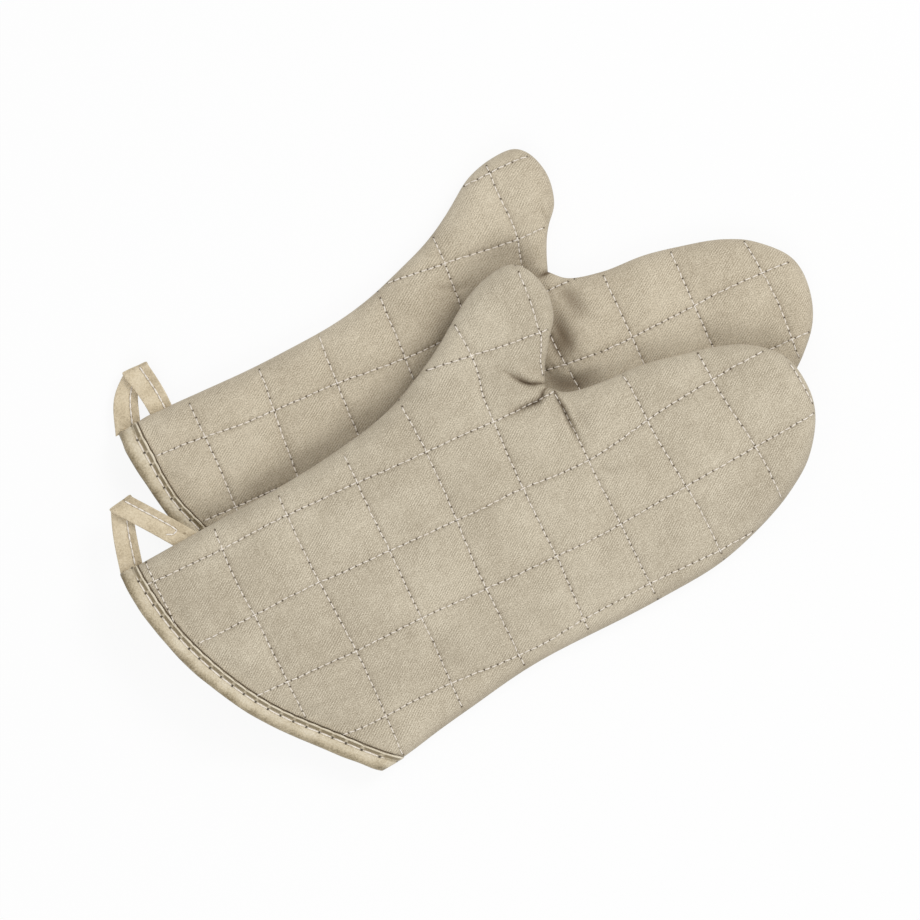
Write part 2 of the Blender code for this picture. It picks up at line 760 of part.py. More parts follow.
def build_glove(glove, frame):
    """All the pieces of a glove, on the frames that carry them."""
    outline = glove.outline
    axis_place = (outline.seam[outline.root] + outline.seam[outline.crotch]) / 2
    axis_height = SEAM_HEIGHT + SHELL_OUTER + float(glove.rise(axis_place[None])[0])
    thumb_place = Vector((*axis_place, axis_height))
    thumb_frame = frame_object(f"{glove.name}_thumb_axis", thumb_place, 0, frame)
    for part, carrier, origin in (("hand", frame, Vector()), ("thumb", thumb_frame, thumb_place)):
        for side, side_name in ((1, "upper"), (-1, "lower")):
            for kind in ("shell", "batting", "lining"):
                words = [glove.name, side_name, kind] if part == "hand" else [glove.name, part, side_name, kind]
                name = "_".join(words)
                material = cloth_material(name, glove.finishes[kind])
                item = glove.ply(name, part, side, ply_faces(kind, side), material)
                hang_on(item, carrier, origin)

    name = f"{glove.name}_cuff_binding"
    binding = binding_object(glove, name, cloth_material(name, glove.finishes["tape"]))
    binding.parent = frame

    axis_start, along, _ = loop_axis(glove)
    height = SEAM_HEIGHT + float(glove.rise(axis_start[None])[0])
    loop_frame = frame_object(
        f"{glove.name}_loop_axis", (*axis_start, height), math.atan2(along[1], along[0]), frame
    )
    name = f"{glove.name}_hanging_loop"
    for item in loop_object(glove, name, cloth_material(name, glove.finishes["tape"])):
        item.parent = loop_frame


def turned(places, angle):
    """Places turned about the origin of the plane."""
    cosine, sine = math.cos(angle), math.sin(angle)
    return places @ np.array([[cosine, sine], [-sine, cosine]])


def world_corners():
    bpy.context.view_layer.update()
    graph = bpy.context.evaluated_depsgraph_get()
    corners = []
    for item in bpy.context.view_layer.objects:
        if item.type == "MESH" and not item.hide_render:
            evaluated = item.evaluated_get(graph)
            mesh = evaluated.to_mesh()
            corners += [evaluated.matrix_world @ vertex.co for vertex in mesh.vertices]
            evaluated.to_mesh_clear()
    return np.array(corners)


def main():
    clear_scene()
    outline = Outline()
    base_finishes = {"batting": BATTING_FINISH, "lining": LINING_FINISH, "tape": TAPE_FINISH}
    front_finishes = {**base_finishes, "shell": SHELL_FINISH}
    rear_finishes = {**base_finishes, "shell": REAR_SHELL_FINISH}

    rear_edge = turned(outline.seam, REAR_TURN) + REAR_SHIFT
    drape_top = rear_edge[:, 1].min() + DRAPE_MARGIN
    stack_rise = SEAM_HEIGHT + SHELL_OUTER + PILLOW_CROWN + STACK_GAP

    def lie_flat(places):
        return np.zeros(len(places))

    def lie_on_rear(places):
        """The front glove lies on the rear one and bends down to the floor below its lower edge."""
        return stack_rise * ease((places[:, 1] - drape_top) / DRAPE_RUN + 1)

    pair = frame_object("pair_origin", (0, 0, 0), 0, None)
    rear = Glove("rear", outline, lie_flat, rear_finishes)
    front = Glove("front", outline, lie_on_rear, front_finishes)
    build_glove(rear, frame_object("rear_glove", (*REAR_SHIFT, 0), REAR_TURN, pair))
    build_glove(front, frame_object("front_glove", (0, 0, 0), 0, pair))

    corners = world_corners()
    middle = (corners.min(0) + corners.max(0)) / 2
    pair.location = (-middle[0], -middle[1], -corners[:, 2].min())


main()
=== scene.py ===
"""A pair of quilted oven gloves, the front one lying over the rear one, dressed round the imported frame.

Lengths are in metres. A glove is shaped in its own frame, with +X towards the fingertips and +Y towards
the thumb, and is then set in its place on the floor.
"""

import math

import bmesh
import bpy
import numpy as np
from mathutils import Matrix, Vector
from mathutils.geometry import delaunay_2d_cdt


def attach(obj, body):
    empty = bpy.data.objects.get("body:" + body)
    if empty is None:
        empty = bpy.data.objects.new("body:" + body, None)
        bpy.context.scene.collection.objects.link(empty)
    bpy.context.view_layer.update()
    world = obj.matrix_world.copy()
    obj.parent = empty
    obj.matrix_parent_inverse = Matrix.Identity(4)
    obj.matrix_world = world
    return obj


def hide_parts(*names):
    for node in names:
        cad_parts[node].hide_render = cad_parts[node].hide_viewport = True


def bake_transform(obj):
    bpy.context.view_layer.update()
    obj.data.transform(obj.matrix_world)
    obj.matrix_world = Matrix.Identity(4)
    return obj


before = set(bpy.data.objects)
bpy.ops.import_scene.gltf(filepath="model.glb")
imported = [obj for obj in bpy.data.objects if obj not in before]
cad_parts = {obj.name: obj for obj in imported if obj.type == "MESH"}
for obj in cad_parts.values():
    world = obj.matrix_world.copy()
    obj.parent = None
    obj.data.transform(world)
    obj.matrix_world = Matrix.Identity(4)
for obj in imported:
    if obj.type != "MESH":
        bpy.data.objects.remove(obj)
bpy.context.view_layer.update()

MM = 0.001

# Points that a curve gets between two of its own
CURVE_STEPS = 12

# Cut of a glove, as in the frame: shares of its length and width, and the bow of its cuff
GLOVE_SIZE = (0.376, 0.217)
CUFF_BOW = 0.018
UPPER_EDGE = [
    (-0.360, 0.235), (-0.236, 0.250), (-0.105, 0.264), (-0.005, 0.286), (0.080, 0.320), (0.170, 0.395),
]
THUMB_EDGE = [
    (0.253, 0.491), (0.295, 0.517), (0.327, 0.519), (0.345, 0.494), (0.358, 0.430),
    (0.353, 0.361), (0.332, 0.310), (0.308, 0.248), (0.299, 0.210),
]
FINGER_EDGE = [
    (0.299, 0.210), (0.321, 0.176), (0.372, 0.160), (0.434, 0.157), (0.492, 0.138), (0.550, 0.115),
    (0.589, 0.086), (0.627, 0.022), (0.637, -0.062), (0.629, -0.138), (0.597, -0.221), (0.554, -0.274),
    (0.492, -0.330), (0.422, -0.366), (0.315, -0.380), (0.126, -0.398), (-0.002, -0.433), (-0.145, -0.475),
]

# Numbers of the seam's points at the thumb's root and at its crotch
ROOT_POINT = (len(UPPER_EDGE) - 1) * CURVE_STEPS
CROTCH_POINT = (len(UPPER_EDGE) + len(THUMB_EDGE) - 1) * CURVE_STEPS

# At the cuff's corners the way in turns along the side seams: over what distance at the upper and the lower
# corner, and how much of it still leads straight in
UPPER_CORNER_RUN = 0.020
LOWER_CORNER_RUN = 0.026
LEAST_STRAIGHT_SHARE = 0.72

# Heights from the plane of the side seam, and the widths of its edges
SEAM_HEIGHT = 0.0081
HALF_SEAM_GAP = 0.00015
SHELL_HEIGHT = 0.0070
UNDER_HEIGHT = 0.0081
WADDING_INNER = 0.0045
LINING_OUTER = 0.0042
LINING_INNER = 0.0036
SHELL_CLOTH = 0.0008
PLY_GAP = 0.0003
RIM_WIDTH = 0.009
QUILT_PITCH = 0.040
CROWN = 0.0026
STITCH_PITCH = 0.0039
BINDING_WIDTH = 0.010
BINDING_STITCH_PITCH = 0.0077
BINDING_SEAM_DEPTH = 0.0063
LIP_DEPTH = 0.0095
TAPE_WIDTH = 0.0125
LOOP_TAPE = 0.0012
LOOP_SEAM_DEPTH = 0.0039

# The upper shell: its pillows, the groove along its seams, and the line where the binding's lip ends on it
PILLOW_POWER = 0.62
PILLOW_CHANGE = 0.18
CUFF_FADE = 0.010
SEAM_FADE = 0.013
UNEVEN_NOISES = [(0.6, 0.019, 5), (0.4, 0.008, 6)]
UNEVEN_HEIGHT = 0.00040
GROOVE_DEPTH = 0.00040
GROOVE_WIDTH = 0.0013
GROOVE_FADE = 0.005
CREASE_FADE = 0.0025
LIP_GAP = 0.0003
LIP_GROOVE_DEPTH = 0.0006
LIP_GROOVE_WIDTH = 0.0005

# The lower shell: where it steps out past the binding, and its flatter seams
UNDER_STEP_START = 0.009
UNDER_STEP_RUN = 0.008
UNDER_GROOVE_DEPTH = 0.0009
UNDER_GROOVE_WIDTH = 0.0026
UNDER_UNEVEN_HEIGHT = 0.00012

# Meshes: how far apart points lie, at what shares of a quilting square, and how many rings run over the rim
FINE_STEPS = [0, 0.014, 0.028, 0.045, 0.068, 0.1, 0.14, 0.185, 0.235, 0.29, 0.35, 0.42, 0.5]
FINE_STEPS = FINE_STEPS + [1 - step for step in FINE_STEPS[-2:0:-1]]
UNDER_STEPS = [0, 0.03, 0.07, 0.13, 0.22, 0.36, 0.5, 0.64, 0.78, 0.87, 0.93, 0.97]
INNER_STEPS = [0, 0.125, 0.25, 0.375, 0.5, 0.625, 0.75, 0.875]
UPPER_MESH = {"spacing": 0.0014, "steps": FINE_STEPS, "rings": 8, "detailed": True}
LOWER_MESH = {"spacing": 0.0030, "steps": UNDER_STEPS, "rings": 6}
INNER_MESH = {"spacing": 0.0050, "steps": INNER_STEPS, "rings": 4}
BORDER_SPACING = 0.0020
QUILTING_REACH = 0.28
QUILT_COLUMNS = np.arange(-4, 7)
QUILT_ROWS = np.arange(-4, 4)

# How far points keep from a line that has points of its own, as shares of a ring's depth or of the spacing
RING_SHARE = 0.965
LINE_SHARE = 0.35
CUFF_SHARE = 0.5

# Extra rows of points beside the binding's lip, and a close grid in the thin creases
LIP_ROWS = (-0.0010, -0.0004, 0.0, 0.0003, 0.0006, 0.0010)
LIP_ROWS_END = 0.004
LIP_ROWS_TO_SEAM = 0.002
GRID_TO_LIP = 0.0016
CREASE_TICKS = np.arange(-0.16, 0.26, 0.0006)
CREASE_MESH_WIDTHS = 2.4
CREASE_TO_SEAM = 0.0030
CREASE_TO_FOLD = 0.0005
RING_CREASE_DEPTH = 0.0026
RIM_CREASE_WIDTHS = (-1.4, -0.8, -0.35, 0, 0.35, 0.8, 1.4)
RIM_CREASE_START = 0.0004
RIM_CREASE_END = 0.0032
SAME_PLACE = 1e-7
NO_AREA = 1e-13

# Inner plies: how far each face ends in from the seam, and how far the wadding sinks under the shell
WADDING_SINK = 0.0005
WADDING_INSET = 0.0033
LINING_INSET = 0.0036
LINING_INNER_INSET = 0.0042

# How far from the fold at the thumb's root a thumb's bend would reach; its end is worked out, but no bend is
# made
BEND_REACH = 0.020

# Quilting seams: how far a hole strays from its line, how close the holes come to the seam and how far they
# run on under the binding's lip, and how high the thread lies, in the middle and more at the rim
HOLE_STRAY = 0.00028
HOLES_TO_SEAM = 0.0006
HOLES_UNDER_LIP = 0.001
THREAD_LIFT = 0.00015
THREAD_RIM_LIFT = 0.0006

# Section of the binding. Its lip: how far back from the lip's end and at what share of its height each edge
# is, then the same on the way to the seam, as shares of that way
LIP_BACK = 0.0005
LIP_WAVE = 0.0006
LIP_UNEVEN = 0.0002
LIP_HEIGHT = 0.0009
LIP_SWELL = 0.0010
LIP_EDGES = ((0.0, 0.35), (0.0001, 0.75), (0.0003, 1.0), (0.0006, 0.97))
LIP_SHARES = ((0.72, 0.66), (0.5, 0.38), (0.28, 0.18), (0.12, 0.12))
TAPE_LIFT = 0.0001

# From the seam to the edge: shares of that way, and how plump the tape is there; then round the edge
PLUMP_SHARES = (0.95, 0.88, 0.78, 0.66, 0.52, 0.38, 0.24, 0.10)
PLUMP_RISE_SHARE = 0.16
PLUMP_HEIGHT = 0.0013
PLUMP_UNEVEN = 0.0003
PLUMP_RIPPLE = 0.0002
EDGE_OUT = 0.0013
EDGE_UNEVEN = 0.00025
EDGE_POWER = 0.8
EDGE_ROWS = 11

# Inside the cuff: the tape lies against the lining, and steps up a little between
INNER_SHARES = ((0.05, 0), (0.3, 0.0003), (0.62, 0), (0.8, 0.0003), (1.0, 0))
INNER_TAPE = 0.0012
INNER_GAP = 0.0002
INNER_TURN = (0.0004, 0.0050)
LAST_BACK = 0.0001

# The binding's plan at the cuff's corners, its mesh, and the waves that its stitches draw in it
CORNER_RUN = 0.0048
CORNER_SLOPE = 0.0042 / 0.0034
CORNER_TOP = 0.0006
BINDING_SPACING = 0.0007
BINDING_CORNER_ROWS = 9
WAVE_POWER = 0.6
WIDE_BUMPS = 0.011
SMALL_BUMPS = 0.0045
FLOOR_CLEAR = 0.00005
NO_SEAM = -0.02
END_STITCH_SHARE = 0.25
BINDING_THREAD_LIFT = 0.0005

# The loop's tape: rails across its width and its thickness there, then points along a leg and round the fold
TAPE_SHARES = np.array([-1, -0.985, -0.93, -0.8, -0.6, -0.4, -0.2, 0, 0.25, 0.55, 0.8, 0.93, 0.985, 1])
TAPE_PLUMP_SHARES = np.array([0.0, 0.42, 0.78, 1.0, 0.96, 0.80, 0.94, 1.0, 1.02, 1.0, 0.95, 0.78, 0.42, 0.0])
LEG_POINTS = 17
FOLD_POINTS = 9
LOOP_START = 0.002
FIRST_ROOT = np.array([0, -0.0030])
SECOND_ROOT = np.array([0, -0.0036])
FOLD_OUT = 0.0009
BOW_POWER = 1.2
SECOND_BOW_SHARE = 0.25
LOOP_LEVEL = -0.0012
ROOT_GAP = 0.0008
LEG_GAP = 0.0009
LEG_GAP_SHARE = 0.5
TAPE_UNEVEN = 0.14
TAPE_BUMPS = 0.006
NOISE_OFFSET = 0.3

# The loop's seam: its pitch and lift, its last point before the hook, and the hook across the tape, as shares
# of half the tape's width and points back from the second root
LOOP_STITCH_PITCH = 0.0042
LOOP_THREAD_LIFT = (0, 0, 0.0003)
HOOK_START = 4
HOOK_SHARES = ((0.15, 4), (0.5, 4), (0.85, 5))

# Threads: width, share of the gap between two holes that a stitch fills, and how much it sways
QUILTING_THREAD = {"width": 0.00068, "share": 0.88, "sway": 0.09}
BINDING_THREAD = {"width": 0.00098, "share": 0.92, "sway": 0.02}
LOOP_THREAD = {"width": 0.00095, "share": 1.05, "sway": 0.0}
THREAD_HEIGHT_SHARE = 0.75

# Where the front glove bends down to the floor beyond the rear one, and how it presses into the rear one
STACK_RISE = 0.0184
DRAPE_RUN = 0.049
DRAPE_MARGIN = 0.003
REAR_SHIFT = (0.0253, 0.0620)
REAR_TURN = math.radians(-3.4)
PAIR_PLACE = (-0.063548, -0.031883)
PRESS_DEPTH = 0.0044
PRESS_REACH = 0.023
PRESS_UNDER = 0.014
PRESSED_HEIGHT = 0.0062
PRESS_CUFF_SHARE = 0.3
PRESS_CUFF_START = -0.085
PRESS_CUFF_RUN = 0.08
PRESS_TIP_SHARE = 0.2
PRESS_TIP_START = 0.10
PRESS_TIP_RUN = 0.06

# The photograph: the pixel at the front glove's own origin, its middle, its scale, and how far it is turned
PHOTO_ORIGIN = (392, 552)
PHOTO_MIDDLE = (460, 460)
PIXEL = 0.0005376
PHOTO_TURN = math.radians(25.2)

# Points on the quilting, as seen: number of the upright line, number of the level line, and the pixel
QUILTING_SEEN = {
    "front": [
        (-3, 1, 155, 581), (-2, 1, 223, 548), (-1, 1, 288, 515), (0, 1, 357, 483), (1, 1, 427, 452),
        (2, 1, 494, 421), (-2, 0, 255, 615), (-1, 0, 320, 582), (0, 0, 390, 551), (1, 0, 457, 520),
        (2, 0, 522, 489), (3, 0, 588, 461), (4, 0, 647, 420), (5, 0, 711, 380), (-2, -1, 288, 681),
        (-1, -1, 357, 650), (0, -1, 422, 617), (1, -1, 486, 588), (2, -1, 556, 556), (3, -1, 620, 524),
        (4, -1, 685, 486), (5, -1, 755, 447), (-1, -2, 386, 717), (0, -2, 451, 683), (1, -2, 520, 655),
        (2, -2, 584, 620), (3, -2, 650, 583), (4, -2, 720, 550), (2, 2, 473, 358), (3, 2, 538, 334),
        (-3, None, 148, 564), (-3, None, 174, 618), (-2, None, 216, 525), (-1, None, 275, 488),
        (0, None, 341, 447), (1, None, 399, 401), (3, None, 541, 352), (3, None, 530, 300),
        (3, None, 517, 268), (2, None, 455, 327), (2, None, 481, 388), (3, None, 563, 408),
        (6, None, 800, 380), (6, None, 807, 396), (5, None, 700, 357), (4, None, 623, 377),
        (None, 2, 418, 374), (None, 2, 430, 368), (None, 2, 500, 346), (None, 2, 550, 330),
        (None, 1, 540, 400), (None, 0, 770, 348), (None, 0, 735, 365), (None, -1, 814, 412),
    ],
    "rear": [
        (-2, 1, 205, 436), (-1, 1, 274, 411), (0, 1, 336, 383), (1, 1, 406, 358), (-2, 0, 235, 507),
        (2, 2, 445, 263), (3, 2, 516, 240), (3, 3, 492, 171), (3, 0, 568, 365), (4, 0, 633, 337),
        (5, 0, 695, 305), (6, 0, 765, 271), (6, -1, 794, 340), (-2, None, 188, 402), (-1, None, 258, 368),
        (-1, None, 296, 474), (0, None, 321, 343), (0, None, 357, 434), (1, None, 382, 302),
        (1, None, 414, 379), (2, None, 460, 303), (2, None, 432, 235), (3, None, 484, 163),
        (3, None, 503, 200), (3, None, 527, 271), (4, None, 603, 273), (4, None, 644, 363),
        (5, None, 671, 248), (5, None, 714, 346), (6, None, 744, 242), (6, None, 780, 307),
        (6, None, 797, 352), (3, None, 579, 388), (3, None, 550, 336), (None, 1, 158, 455),
        (None, 0, 203, 521), (None, 3, 462, 188), (None, 3, 527, 156), (None, 2, 547, 227),
        (None, 2, 395, 280), (None, 2, 480, 251), (None, 1, 557, 286), (None, 1, 575, 278),
        (None, -1, 770, 349), (None, -1, 811, 330), (None, 0, 790, 261), (None, 0, 545, 370),
    ],
}

# Creases, as seen: pixels along each, its depth and its width in millimetres
CREASES_SEEN = {
    "front": [
        (
            [(547, 383), (538, 384), (528, 384), (520, 381), (513, 377), (505, 372), (496, 368), (488, 365)],
            3.7, 1.3,
        ),
        (
            [(550, 387), (543, 391), (541, 397), (537, 402), (527, 406), (517, 410), (508, 414), (494, 421)],
            3.5, 1.3,
        ),
        (
            [(554, 390), (557, 399), (562, 407), (566, 416), (571, 427), (576, 438), (582, 450), (588, 461)],
            3.1, 1.1,
        ),
        ([(512, 372), (522, 377), (532, 380)], 0.8, 2.2),
        ([(586, 462), (600, 468), (618, 470), (635, 466)], 0.7, 2.5),
        ([(566, 400), (580, 418), (594, 428)], 0.8, 3.0),
        ([(544, 374), (530, 366), (515, 352)], 0.6, 2.4),
    ],
    "rear": [
        ([(554, 269), (548, 272), (542, 275), (536, 277), (528, 276)], 3.6, 1.3),
        ([(556, 278), (564, 288), (572, 300), (580, 312), (589, 330)], 2.3, 4.2),
        ([(548, 300), (556, 320), (562, 335), (569, 350), (577, 370)], 2.8, 4.2),
        ([(420, 246), (432, 248), (446, 250)], 0.6, 1.2),
        ([(424, 253), (436, 256), (450, 255)], 0.5, 1.2),
        ([(440, 288), (452, 288), (468, 286), (480, 282)], 1.0, 1.8),
        ([(543, 211), (547, 219), (549, 227)], 1.3, 1.4),
        ([(462, 263), (480, 258), (500, 250), (520, 245)], 0.7, 3.0),
        ([(550, 336), (561, 358), (568, 366), (575, 378)], 1.2, 1.8),
        ([(540, 362), (552, 376), (566, 384), (590, 378), (606, 372)], 2.2, 4.6),
    ],
}

# From this width on, a crease is a soft dent. A sharp one has a narrow core, keeps its full depth over its
# first share, widens along its way and stands up a little beside it
DENT_WIDTH = 0.002
CREASE_SEARCH = 0.05
CREASE_FULL_SHARE = 0.25
CREASE_WIDENING_SHARE = 0.8
CREASE_CORE_SHARE = 0.45
SHOULDER_SHARE = 0.22
SHOULDER_REACHES = 2.3

# How much deeper and wider the plies below take a crease, so that they keep clear of it
WIDE_DEPTH_SHARE = 1.15
WIDE_WIDTH_SHARE = 1.8
WIDE_MARGIN = 0.0035
WIDE_LIMIT = 0.0034

# Painted shade: the depth at which a crease is darkest, the shade where a glove is pressed, and at the lower
# edge
DARK_DEPTH = 0.0030
DARK_POWER = 1.5
PRESS_SHADE = 0.31
LOW_EDGE_SHADE = 0.25
LOW_EDGE_WIDTH = 0.0035
LOW_EDGE_START = 0.03
LOW_EDGE_RUN = 0.03

# Where a glove lies a little off its cut, as seen: a pixel, the shift there in pixels, and how wide it is
SHIFTS_SEEN = {
    "front": [
        ((640, 600), (1.9, 3.9), 120), ((790, 490), (2.4, 1.6), 42), ((815, 405), (0.7, -0.4), 35),
        ((400, 755), (1.5, 2.6), 36), ((450, 722), (1.1, 1.3), 70), ((165, 640), (-2.2, 1.5), 75),
        ((318, 750), (1.1, -2.4), 50),
    ],
    "rear": [
        ((520, 178), (-9.0, -0.8), 46), ((556, 200), (-2.6, 0.3), 24), ((553, 232), (-3.4, 0.0), 20),
        ((462, 185), (-3.0, -3.2), 34), ((440, 222), (-1.9, -1.6), 26), ((395, 272), (-4.3, -4.9), 58),
        ((290, 345), (-0.6, -1.6), 60), ((200, 392), (-0.5, -1.0), 40), ((705, 240), (0.0, -3.9), 62),
        ((798, 272), (1.8, -2.0), 28), ((802, 352), (-1.8, -0.8), 22), ((572, 275), (0.5, -1.0), 22),
        ((140, 418), (2.4, -4.4), 18), ((119, 434), (2.8, 0.4), 14), ((168, 406), (0.2, -1.8), 24),
        ((151, 446), (4.2, 0.4), 22), ((182, 500), (-1.6, 0.0), 18),
        ((140, 480), (1.2, -0.3), 28),
    ],
}

# The hanging loops: middle of the fold at the tip, place of the first root, spread of the roots, bow of the
# legs, tilt of the fold, and whether the stitches hook across the tape
LOOPS = {
    "front": {
        "tip": (-0.3190, 0.3934), "root": -0.3432, "spread": 0.0310, "bow": 0.0009, "tilt": 0.0, "hook": True,
    },
    "rear": {
        "tip": (-0.3078, 0.3664), "root": -0.3455, "spread": 0.0187, "bow": 0.0034, "tilt": 0.22, "hook": False,
    },
}

# How the quilting grid of each glove bends: towards the fingers, in the thumb, and its offset from the origin
QUILT_BENDS = {
    "front": {"offset": (0.0012, -0.0010), "finger_bend": 0.090, "thumb_tilt": 0.090, "thumb_crowd": 0.0},
    "rear": {"offset": (0.0152, 0.0080), "finger_bend": 0.065, "thumb_tilt": 0.020, "thumb_crowd": 0.13},
}

# Where the grid bends to the fingers, how softly, and the level that stays straight; then where the thumb's
# own grid takes over, where its tilt turns and from where its rows crowd
FINGER_BEND_START = 0.100
FINGER_BEND_SOFTNESS = 0.030
STRAIGHT_LEVEL = -0.074
THUMB_GRID_START = 0.050
THUMB_GRID_RUN = 0.022
THUMB_TILT_CENTRE = 0.050
THUMB_CROWD_START = 0.072
QUILT_WANDER = 0.00045
QUILT_WANDER_SIZE = 0.026
FIT_SOFTNESS = 0.06

# How far the lower side of a cuff stands out past the upper one
CUFF_SLIP = {"front": 0.0, "rear": 0.0004}

# Tones of the cloths, in the 0 to 255 values of a display: dark, middle, light, and a needle hole
TONES = {
    "front_twill": ((156, 144, 124), (189, 178, 157), (221, 211, 190), (84, 70, 52)),
    # The rear twill is the front twill made a little lighter: painted light that brightens the whole rear glove
    "rear_twill": ((158, 145, 124), (193, 181, 159), (222, 211, 189), (80, 66, 49)),
    "lining_cloth": ((176, 164, 142), (206, 196, 176)),
    "cotton_wadding": ((214, 209, 198), (240, 237, 230)),
    "binding_tape": ((122, 107, 77), (200, 186, 158), (236, 226, 204), (52, 40, 26)),
    "loop_tape": ((150, 132, 100), (213, 197, 167), (240, 227, 201), (150, 132, 102)),
    "cotton_thread": ((218, 208, 195), (250, 243, 233)),
    # Painted shade: the colour laid into creases, where the rear glove is pressed, along the lower edge and
    # beside the binding's lip
    "shade": ((98, 81, 60),),
}

# The stage: the room's light, the floor, the lamps with their place, size and power, and the camera
ROOM_LIGHT = 0.64
FLOOR_HALF = 6
FLOOR_LEVEL = -0.0002
FLOOR_TONE = 0.86
FLOOR_GLOW_SHARE = 0.90
LAMPS = {
    "key_light": ((1.25, 0.45, 1.45), 0.8, 13.5),
    "fill_light": ((-0.5, -1.3, 1.5), 1.2, 9.5),
}
CAMERA_HEIGHT = 2.6
SHARP_HEIGHT = 0.02
SENSOR_WIDTH = 36


def ease(share):
    """A smooth step from 0 to 1."""
    share = np.clip(share, 0, 1)
    return share * share * (3 - 2 * share)


def ramp(value, start, run):
    """A smooth step from 0 to 1 from a start and over a run."""
    return ease((value - start) / run)


def hump(away, width):
    """1 on a line, and nothing far off it."""
    return np.exp(-((away / width) ** 2))


def unit(vectors):
    return vectors / np.maximum(np.linalg.norm(vectors, axis=-1, keepdims=True), 1e-12)


def smooth_curve(points, samples=CURVE_STEPS):
    """A centripetal Catmull-Rom curve through the points, closely sampled."""
    points = np.array(points, float)
    guide = np.vstack([2 * points[0] - points[1], points, 2 * points[-1] - points[-2]])
    knots = np.concatenate([[0], np.cumsum(np.linalg.norm(np.diff(guide, axis=0), axis=1) ** 0.5)])
    curve = []
    for i in range(1, len(guide) - 2):
        p, k = guide[i - 1 : i + 3], knots[i - 1 : i + 3]
        t = np.linspace(k[1], k[2], samples, endpoint=False)[:, None]
        a = [((k[j + 1] - t) * p[j] + (t - k[j]) * p[j + 1]) / (k[j + 1] - k[j]) for j in range(3)]
        b = [((k[j + 2] - t) * a[j] + (t - k[j]) * a[j + 1]) / (k[j + 2] - k[j]) for j in range(2)]
        curve.append(((k[2] - t) * b[0] + (t - k[1]) * b[1]) / (k[2] - k[1]))
    curve.append(points[-1][None])
    return np.vstack(curve)


def reaches(line):
    return np.concatenate([[0], np.cumsum(np.linalg.norm(np.diff(line, axis=0), axis=1))])


def evenly(line, spacing):
    """The same line with points at an even spacing."""
    reach = reaches(line)
    marks = np.linspace(0, reach[-1], max(2, round(reach[-1] / spacing) + 1))
    return np.stack([np.interp(marks, reach, line[:, k]) for k in range(line.shape[1])], axis=-1)


def near_line(places, line):
    """Distance of each place from a line of points, and how far along it the nearest point is."""
    start, run = line[:-1], np.diff(line, axis=0)
    reach = reaches(line)
    distance, along = np.empty(len(places)), np.empty(len(places))
    for first in range(0, len(places), 3000):
        away = places[first : first + 3000, None] - start[None]
        share = np.clip((away * run).sum(-1) / (run * run).sum(-1), 0, 1)
        found = np.linalg.norm(away - share[..., None] * run, axis=-1)
        best = found.argmin(1)
        rows = np.arange(len(best))
        distance[first : first + 3000] = found[rows, best]
        along[first : first + 3000] = reach[best] + share[rows, best] * (reach[best + 1] - reach[best])
    return distance, along


def clear_of(places, *limits):
    """Whether each place is further from every line than that line's limit."""
    return np.all([near_line(places, line)[0] > limit for line, limit in limits], axis=0)


def crossings(first, second):
    """Every pair of a value from one row and a value from the other."""
    return np.stack(np.meshgrid(first, second, indexing="ij"), axis=-1).reshape(-1, 2)


def signed_areas(places, triangles):
    """Twice the area of each flat triangle, below zero where it runs clockwise."""
    a, b, c = (places[triangles[:, k]] for k in range(3))
    return (b[:, 0] - a[:, 0]) * (c[:, 1] - a[:, 1]) - (b[:, 1] - a[:, 1]) * (c[:, 0] - a[:, 0])


def on_thumb(places):
    """Whether each place is beyond the fold, on the thumb."""
    return ((places - CUT.root) @ CUT.fold_normal > 0) & inside(places, CUT.thumb)


def inside(places, polygon):
    """Whether each place is inside a closed polygon."""
    found = np.zeros(len(places), bool)
    for a, b in zip(polygon, np.roll(polygon, -1, axis=0)):
        if a[1] == b[1]:
            continue
        crosses = (a[1] > places[:, 1]) != (b[1] > places[:, 1])
        found ^= crosses & (places[:, 0] < a[0] + (b[0] - a[0]) * (places[:, 1] - a[1]) / (b[1] - a[1]))
    return found


def soft_noise(places, size, seed):
    """Smooth random heights from -1 to 1 with bumps of this size, the same in every run."""
    table = np.random.default_rng(seed).uniform(-1, 1, (97, 97))
    cell = places / size + 512
    low = np.floor(cell).astype(int)
    share = ease(cell - low)
    x, y = low[:, 0] % 97, low[:, 1] % 97
    x2, y2 = (x + 1) % 97, (y + 1) % 97
    first = table[x, y] * (1 - share[:, 0]) + table[x2, y] * share[:, 0]
    second = table[x, y2] * (1 - share[:, 0]) + table[x2, y2] * share[:, 0]
    return first * (1 - share[:, 1]) + second * share[:, 1]


def turned(places, angle):
    cosine, sine = math.cos(angle), math.sin(angle)
    return places @ np.array([[cosine, sine], [-sine, cosine]])


def from_photo(name, pixels):
    """Places in a glove's own frame from pixels of the photograph."""
    away = (np.array(pixels, float) - PHOTO_ORIGIN) * (PIXEL, -PIXEL)
    places = turned(away, -PHOTO_TURN)
    return turned(places - REAR_SHIFT, -REAR_TURN) if name == "rear" else places


def bell(places, centres, width):
    """How near each place is to each centre, from 1 at the centre to 0 far off."""
    gap = ((places[:, None] - centres[None]) ** 2).sum(-1)
    return np.exp(-gap / width**2)


